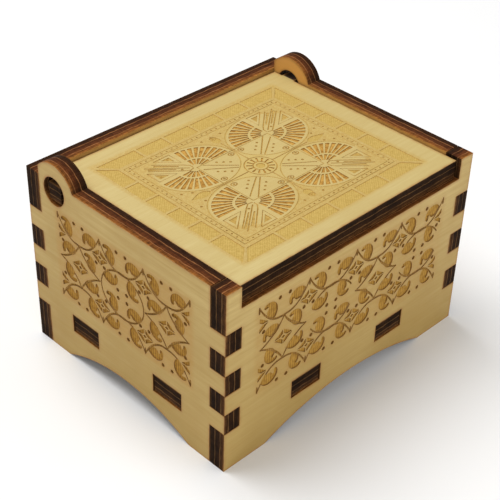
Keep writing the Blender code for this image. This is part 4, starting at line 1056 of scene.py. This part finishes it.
def lid_cutters(fill, spoke, line, faint):
    """Cutting meshes of the lid's ornament, about the lid's middle."""
    ray = math.hypot(*FIELD)
    normal = (-FIELD[1] / ray, FIELD[0] / ray)

    def on_ray(share, off):
        """A point beside the line from the middle to the field's corner."""
        return share * FIELD[0] + off * normal[0], share * FIELD[1] + off * normal[1]

    lines = [closed(circle(radius, 32)) for radius in LID_RING_RADII]
    quarter = [at_corner(path) for path in SPEAR] + [closed(at_corner(shape)) for shape in FLANKS]
    quarter += [[on_ray(share, k * off) for share, off in RAY_LINE] for k in (-1, 1)]
    lines += mirrored(quarter)
    for s in (1, -1):
        lines += [turned([(s * LID_RING_RADII[1], 0.0), (s * AXIS_REACH[axis], 0.0)], axis == Y)
                  for axis in (Y, X)]
    eyes = four_ways(EYES) + [(0.0, s * OUTER_EYE) for s in (1, -1)]
    lines += [[(u + a, v + EYE_FLATNESS * b) for a, b in closed(circle(EYE, 12))] for u, v in eyes]

    around = oval_arc(FAN_RIM, math.pi / 2 + FAN_RIM_OPENING, 2 * math.pi - FAN_RIM_OPENING, 48)
    frames = mirrored([[(FIELD[0] + u, FIELD[1] + v) for u, v in around]])
    for half in (FRAME, (FRAME[0] + FRAME_GAP, FRAME[1] + FRAME_GAP), FIELD):
        frames += rectangle(*half)
    bead_u, bead_v = FRAME[0] + FRAME_GAP / 2, FRAME[1] + FRAME_GAP / 2
    beads = bead_row(bead_u, bead_v) + turned(bead_row(bead_v, bead_u), True)

    marks = eyes[:]
    for share in RAY_DOTS:
        for k in (-1, 1):
            marks += four_ways([on_ray(share, k * RAY_DOT_OFF)])
    marks += four_ways([*LONE_DOTS, *at_corner(CORNER_DOTS)])

    dot = prisms_mesh([circle(LID_DOT_RADIUS, 8)], line, LID_DOT_DEPTH)
    bead = prisms_mesh([circle(BEAD_RADIUS, 6)], faint, LID_DOT_DEPTH)
    faint_shapes = [stroke(frames, LID_FRAME_WIDTH, LID_FRAME_DEPTH, faint), stamp(bead, beads, faint),
                    prisms_mesh(lid_wedges(), faint, LID_FILL_DEPTH)]
    fine_shapes = [stroke(lines, LID_LINE_WIDTH, LID_LINE_DEPTH, line), stamp(dot, marks, line)]
    return [join_meshes("lid_fills", [prisms_mesh(lid_shapes(), fill, LID_FILL_DEPTH)], lid_wall),
            join_meshes("lid_fans", lid_fans(spoke), fan_wall_char_and_shade),
            join_meshes("lid_frames", faint_shapes, lid_wall),
            join_meshes("lid_lines", fine_shapes, lid_wall)]


# Pieces

# the side and fan walls are darker: the laser's char, and painted shade along the cut's outline
side_wall_char_and_shade = scorched("side_engraving_wall", (130, 93, 42), (170, 128, 64))
fan_wall_char_and_shade = scorched("fan_engraving_wall", (148, 104, 42), (178, 134, 62))
lid_wall = scorched("lid_engraving_wall", (200, 166, 94), (218, 186, 116))


def face_matrix(origin, u, v):
    """Stands a flat drawing up: its u and v along the given axes, and its w outwards."""
    turn = Matrix((u, v, Vector(u).cross(Vector(v)))).transposed().to_4x4()
    return Matrix.Translation(origin) @ turn


def joined(mesh, distance):
    """A mesh to build on, with its points joined where they lie closer than a distance."""
    bm = bmesh.new()
    bm.from_mesh(mesh)
    bmesh.ops.remove_doubles(bm, verts=bm.verts, dist=distance)
    return bm


def merged_copy(node, name):
    """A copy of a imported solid, with its loose triangles joined."""
    return new_object(name, mesh_from(joined(nodes[node].data, WELD), name))


def bake(obj):
    """The object's plain mesh in place of its modifiers."""
    mesh = plain_mesh(obj)
    obj.modifiers.clear()
    obj.data = mesh


def cut(obj, cutter, matrix):
    """Cuts a mesh, stood up by a matrix, out of an object."""
    cutter.transform(matrix)
    tool = new_object(cutter.name, cutter)
    boolean = obj.modifiers.new("cut", "BOOLEAN")
    boolean.solver = "EXACT"
    boolean.use_self = True
    boolean.material_mode = "TRANSFER"
    boolean.object = tool
    bake(obj)
    bpy.data.objects.remove(tool)


def stands_for(obj, node):
    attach(obj, BODY_OF[node])
    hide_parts(node)


def panel(node, thickness_axis, grain, cutters=(), matrix=None, tint=None, tones=LID_TONES, calm=0.0):
    """A plywood panel: veneer on its faces, char on its edges, and its ornament cut in."""
    low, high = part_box(node)
    obj = merged_copy(node, "birch_" + node)
    middle = (low[thickness_axis] + high[thickness_axis]) / 2
    obj.data.materials.append(birch(node + "_veneer", grain, *tones, tint, calm))
    obj.data.materials.append(burnt_edge(node + "_edge", thickness_axis, middle))
    for face in obj.data.polygons:
        face.material_index = 0 if abs(face.normal[thickness_axis]) > FLAT_FACE else 1
    for cutter in cutters:
        cut(obj, cutter, matrix)
    bm = joined(obj.data, CUT_WELD)
    bm.to_mesh(obj.data)
    bm.free()
    stands_for(obj, node)


def finished(names, material, rim=0.0):
    """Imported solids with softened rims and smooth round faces, in their better material."""
    for node in names:
        obj = merged_copy(node, "finished_" + node)
        obj.data.materials.append(material)
        for face in obj.data.polygons:
            face.material_index = 0
        if rim:
            bevel = obj.modifiers.new("rim", "BEVEL")
            bevel.width = rim
            bevel.segments = 2
            bevel.limit_method = "ANGLE"
            bevel.angle_limit = SHARP_ANGLE
            bake(obj)
        obj.data.shade_smooth()
        obj.data.set_sharp_from_angle(angle=SHARP_ANGLE)
        stands_for(obj, node)


def frame_joint(name):
    return next(joint["pos_m"] for joint in frame["joints"] if joint["name"] == name)


def case():
    """The five glued panels. The back repeats the front's ornament, and the right end the left end's."""
    middle_x = (front_low.x + front_high.x) / 2
    middle_y = (left_low.y + left_high.y) / 2
    hole_y, hole_z = frame_joint("crank_spin")[1:]
    hole = (hole_y - middle_y, hole_z - END_MIDDLE), CRANK_HOLE_RADIUS + HOLE_MARGIN
    long_side = side_ornament(FRONT_CELLS, FRONT_CELL, False)
    end = side_ornament(END_CELLS, END_CELL, True)
    holed = side_ornament(END_CELLS, END_CELL, True, hole)
    looks = {X: (engraved("fill_across_x", X, *SIDE_FILL), engraved("stem_across_x", X, *SIDE_STEM),
                 (middle_x, FRONT_CELLS / 2 * FRONT_CELL), LONG_SIDE_SMOKE),
             Y: (engraved("fill_across_y", Y, *END_FILL), engraved("stem_across_y", Y, *SIDE_STEM),
                 (middle_y, END_CELLS / 2 * END_CELL), END_SMOKE)}
    for node, along, origin, u, outward, drawing in (
            ("front_panel", X, (middle_x, front_low.y, FRONT_MIDDLE), (1, 0, 0), -1, long_side),
            ("back_panel", X, (middle_x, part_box("back_panel")[1].y, FRONT_MIDDLE), (-1, 0, 0), 1, long_side),
            ("left_end_panel", Y, (left_low.x, middle_y, END_MIDDLE), (0, -1, 0), -1, end),
            ("right_end_panel", Y, (right_high.x, middle_y, END_MIDDLE), (0, 1, 0), 1, holed)):
        fill, stem, span, smoke = looks[along]
        panel(node, 1 - along, along, side_cutters(drawing, fill, stem), face_matrix(origin, u, (0, 0, 1)),
              side_tint(along, *span, origin[Z], outward, *smoke), SIDE_TONES)
    panel("bottom_panel", Z, X)


def lid():
    fill = engraved("lid_fill", Y, *LID_FILL, dotted=True)
    spoke = engraved("lid_fan", Y, *LID_FAN, ribs=LID_RIBS)
    line = engraved("lid_line", Y, *LID_LINE, ribs=LID_RIBS)
    faint = engraved("lid_frame", Y, *LID_FRAME, ribs=LID_RIBS)
    middle = ((lid_low.x + lid_high.x) / 2, (lid_low.y + lid_high.y) / 2 + LID_SHIFT, lid_high.z)
    panel("lid", Z, X, lid_cutters(fill, spoke, line, faint), face_matrix(middle, (1, 0, 0), (0, 1, 0)),
          lid_tint, calm=LID_CALM)


def movement():
    """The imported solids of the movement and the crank, and the pinned cylinder in place of its solid."""
    finished(["bedplate"],
             metal("cast_zinc", (186, 183, 174), 0.5, None, 1.6, 0.12, metallic=0.6), 0.2 * MM)
    finished(["comb"], metal("ground_comb", (190, 192, 196), 0.26, X, 7.0), 0.04 * MM)
    finished(["front_bracket", "back_bracket", "worm_bracket"],
             metal("sheet_steel", (178, 181, 186), 0.34, Z, 5.0), 0.1 * MM)
    finished(["cylinder_arbor", "worm_shaft"],
             metal("turned_steel", (196, 198, 200), 0.24, None, 5.0))
    finished([name for name in nodes if "screw" in name],
             metal("screw_plating", (206, 206, 206), 0.25, None, 8.0), 0.08 * MM)
    finished(["cylinder_gear", "cylinder_end_cap"],
             moulded("natural_nylon", (232, 230, 218), (214, 210, 194), 0.42), 0.06 * MM)
    finished(["crank_arm"], metal("nickelled_wire", (208, 205, 197), 0.18, None, 4.0))
    finished(["knob_end_cap"],
             metal("nickelled_cap", (208, 205, 197), 0.18, None, 4.0), 0.12 * MM)
    finished(["crank_knob"],
             moulded("ivory_knob", (224, 210, 178), (206, 190, 154), 0.32), 0.1 * MM)
    pinned_cylinder()


def turned_tube(radius, length, material):
    """A tube along Y, with fine turned grooves round its outside."""
    bm = bmesh.new()
    profile = [(radius - GROOVE_DEPTH * (i % 2), -length / 2 + i * GROOVE_PITCH / 2)
               for i in range(int(2 * length / GROOVE_PITCH) + 1)]
    profile += [(radius - TUBE_WALL, length / 2), (radius - TUBE_WALL, -length / 2)]
    rim = [bm.verts.new((r, y, 0.0)) for r, y in profile]
    for a, b in zip(rim, rim[1:] + rim[:1]):
        bm.edges.new((a, b))
    bmesh.ops.spin(bm, geom=bm.edges[:], cent=(0, 0, 0), axis=(0, 1, 0), angle=2 * math.pi, steps=TUBE_STEPS,
                   use_merge=True)
    bmesh.ops.remove_doubles(bm, verts=bm.verts, dist=WELD)
    bmesh.ops.recalc_face_normals(bm, faces=bm.faces)
    return mesh_from(bm, "tube", [material])


def pinned_cylinder():
    """The brass tube with its fine steel pins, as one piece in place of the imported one."""
    low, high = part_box("pin_cylinder")
    cap_low, cap_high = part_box("cylinder_end_cap")
    reach = (high.z - low.z) / 2
    radius = (cap_high.z - cap_low.z) / 2 + TUBE_PAST_CAP
    length = high.y - low.y
    brass = metal("turned_brass", (214, 172, 92), 0.28, None, 6.0)
    steel = metal("pin_steel", (170, 172, 176), 0.3)
    tube = turned_tube(radius, length, brass)
    pins = grow(pin_tree(), points_mesh([(0.0, 0.0)]),
                {"Tracks": PIN_TRACKS, "Slots": PIN_SLOTS, "Chance": PIN_CHANCE_SHARE,
                 "Pitch": length / (PIN_TRACKS + 1), "Cylinder Radius": radius - PIN_ROOT,
                 "Pin Radius": PIN_RADIUS, "Pin Length": reach - radius + PIN_ROOT, "Seed": PIN_SEED,
                 "Material": steel})
    bm = bmesh.new()
    bm.from_mesh(tube)
    count = len(bm.faces)
    bm.from_mesh(pins)
    bm.faces.ensure_lookup_table()
    for face in bm.faces[count:]:
        face.material_index = 1
    whole = mesh_from(bm, "pinned_cylinder", [brass, steel])
    whole.transform(Matrix.Translation((low + high) / 2))
    stands_for(new_object("pinned_cylinder", whole), "pin_cylinder")


# Surroundings

def camera():
    right = Vector(CAMERA_RIGHT)
    up = -Vector(CAMERA_DOWN)
    data = bpy.data.cameras.new("camera")
    data.lens = CAMERA_LENS
    data.clip_start = CAMERA_NEAREST
    obj = new_object("camera", data)
    turn = Matrix((right, up, right.cross(up))).transposed().to_4x4()
    obj.matrix_world = Matrix.Translation(CASE_CORNER + Vector(CAMERA_PLACE)) @ turn
    bpy.context.scene.camera = obj


def floor():
    bm = bmesh.new()
    bmesh.ops.create_circle(bm, cap_ends=True, segments=FLOOR_STEPS, radius=FLOOR_RADIUS)
    material, tree, shader = new_finish("pale_floor", 0.9)
    shader.inputs["Base Color"].default_value = FLOOR_TONE
    new_object("floor", mesh_from(bm, "floor", [material]))


def light():
    world = bpy.data.worlds.new("studio")
    world.use_nodes = True
    background = world.node_tree.nodes["Background"]
    background.inputs["Color"].default_value = DAYLIGHT
    background.inputs["Strength"].default_value = DAYLIGHT_STRENGTH
    bpy.context.scene.world = world
    for name, place, size, power in SOFTBOXES:
        data = bpy.data.lights.new(name, "AREA")
        data.shape = "DISK"
        data.size = size
        data.energy = power
        obj = new_object(name, data)
        obj.location = place
        obj.rotation_euler = (-Vector(place)).to_track_quat("-Z", "Y").to_euler()
    bpy.context.scene.view_settings.view_transform = "Standard"


camera()
light()
floor()
case()
lid()
movement()
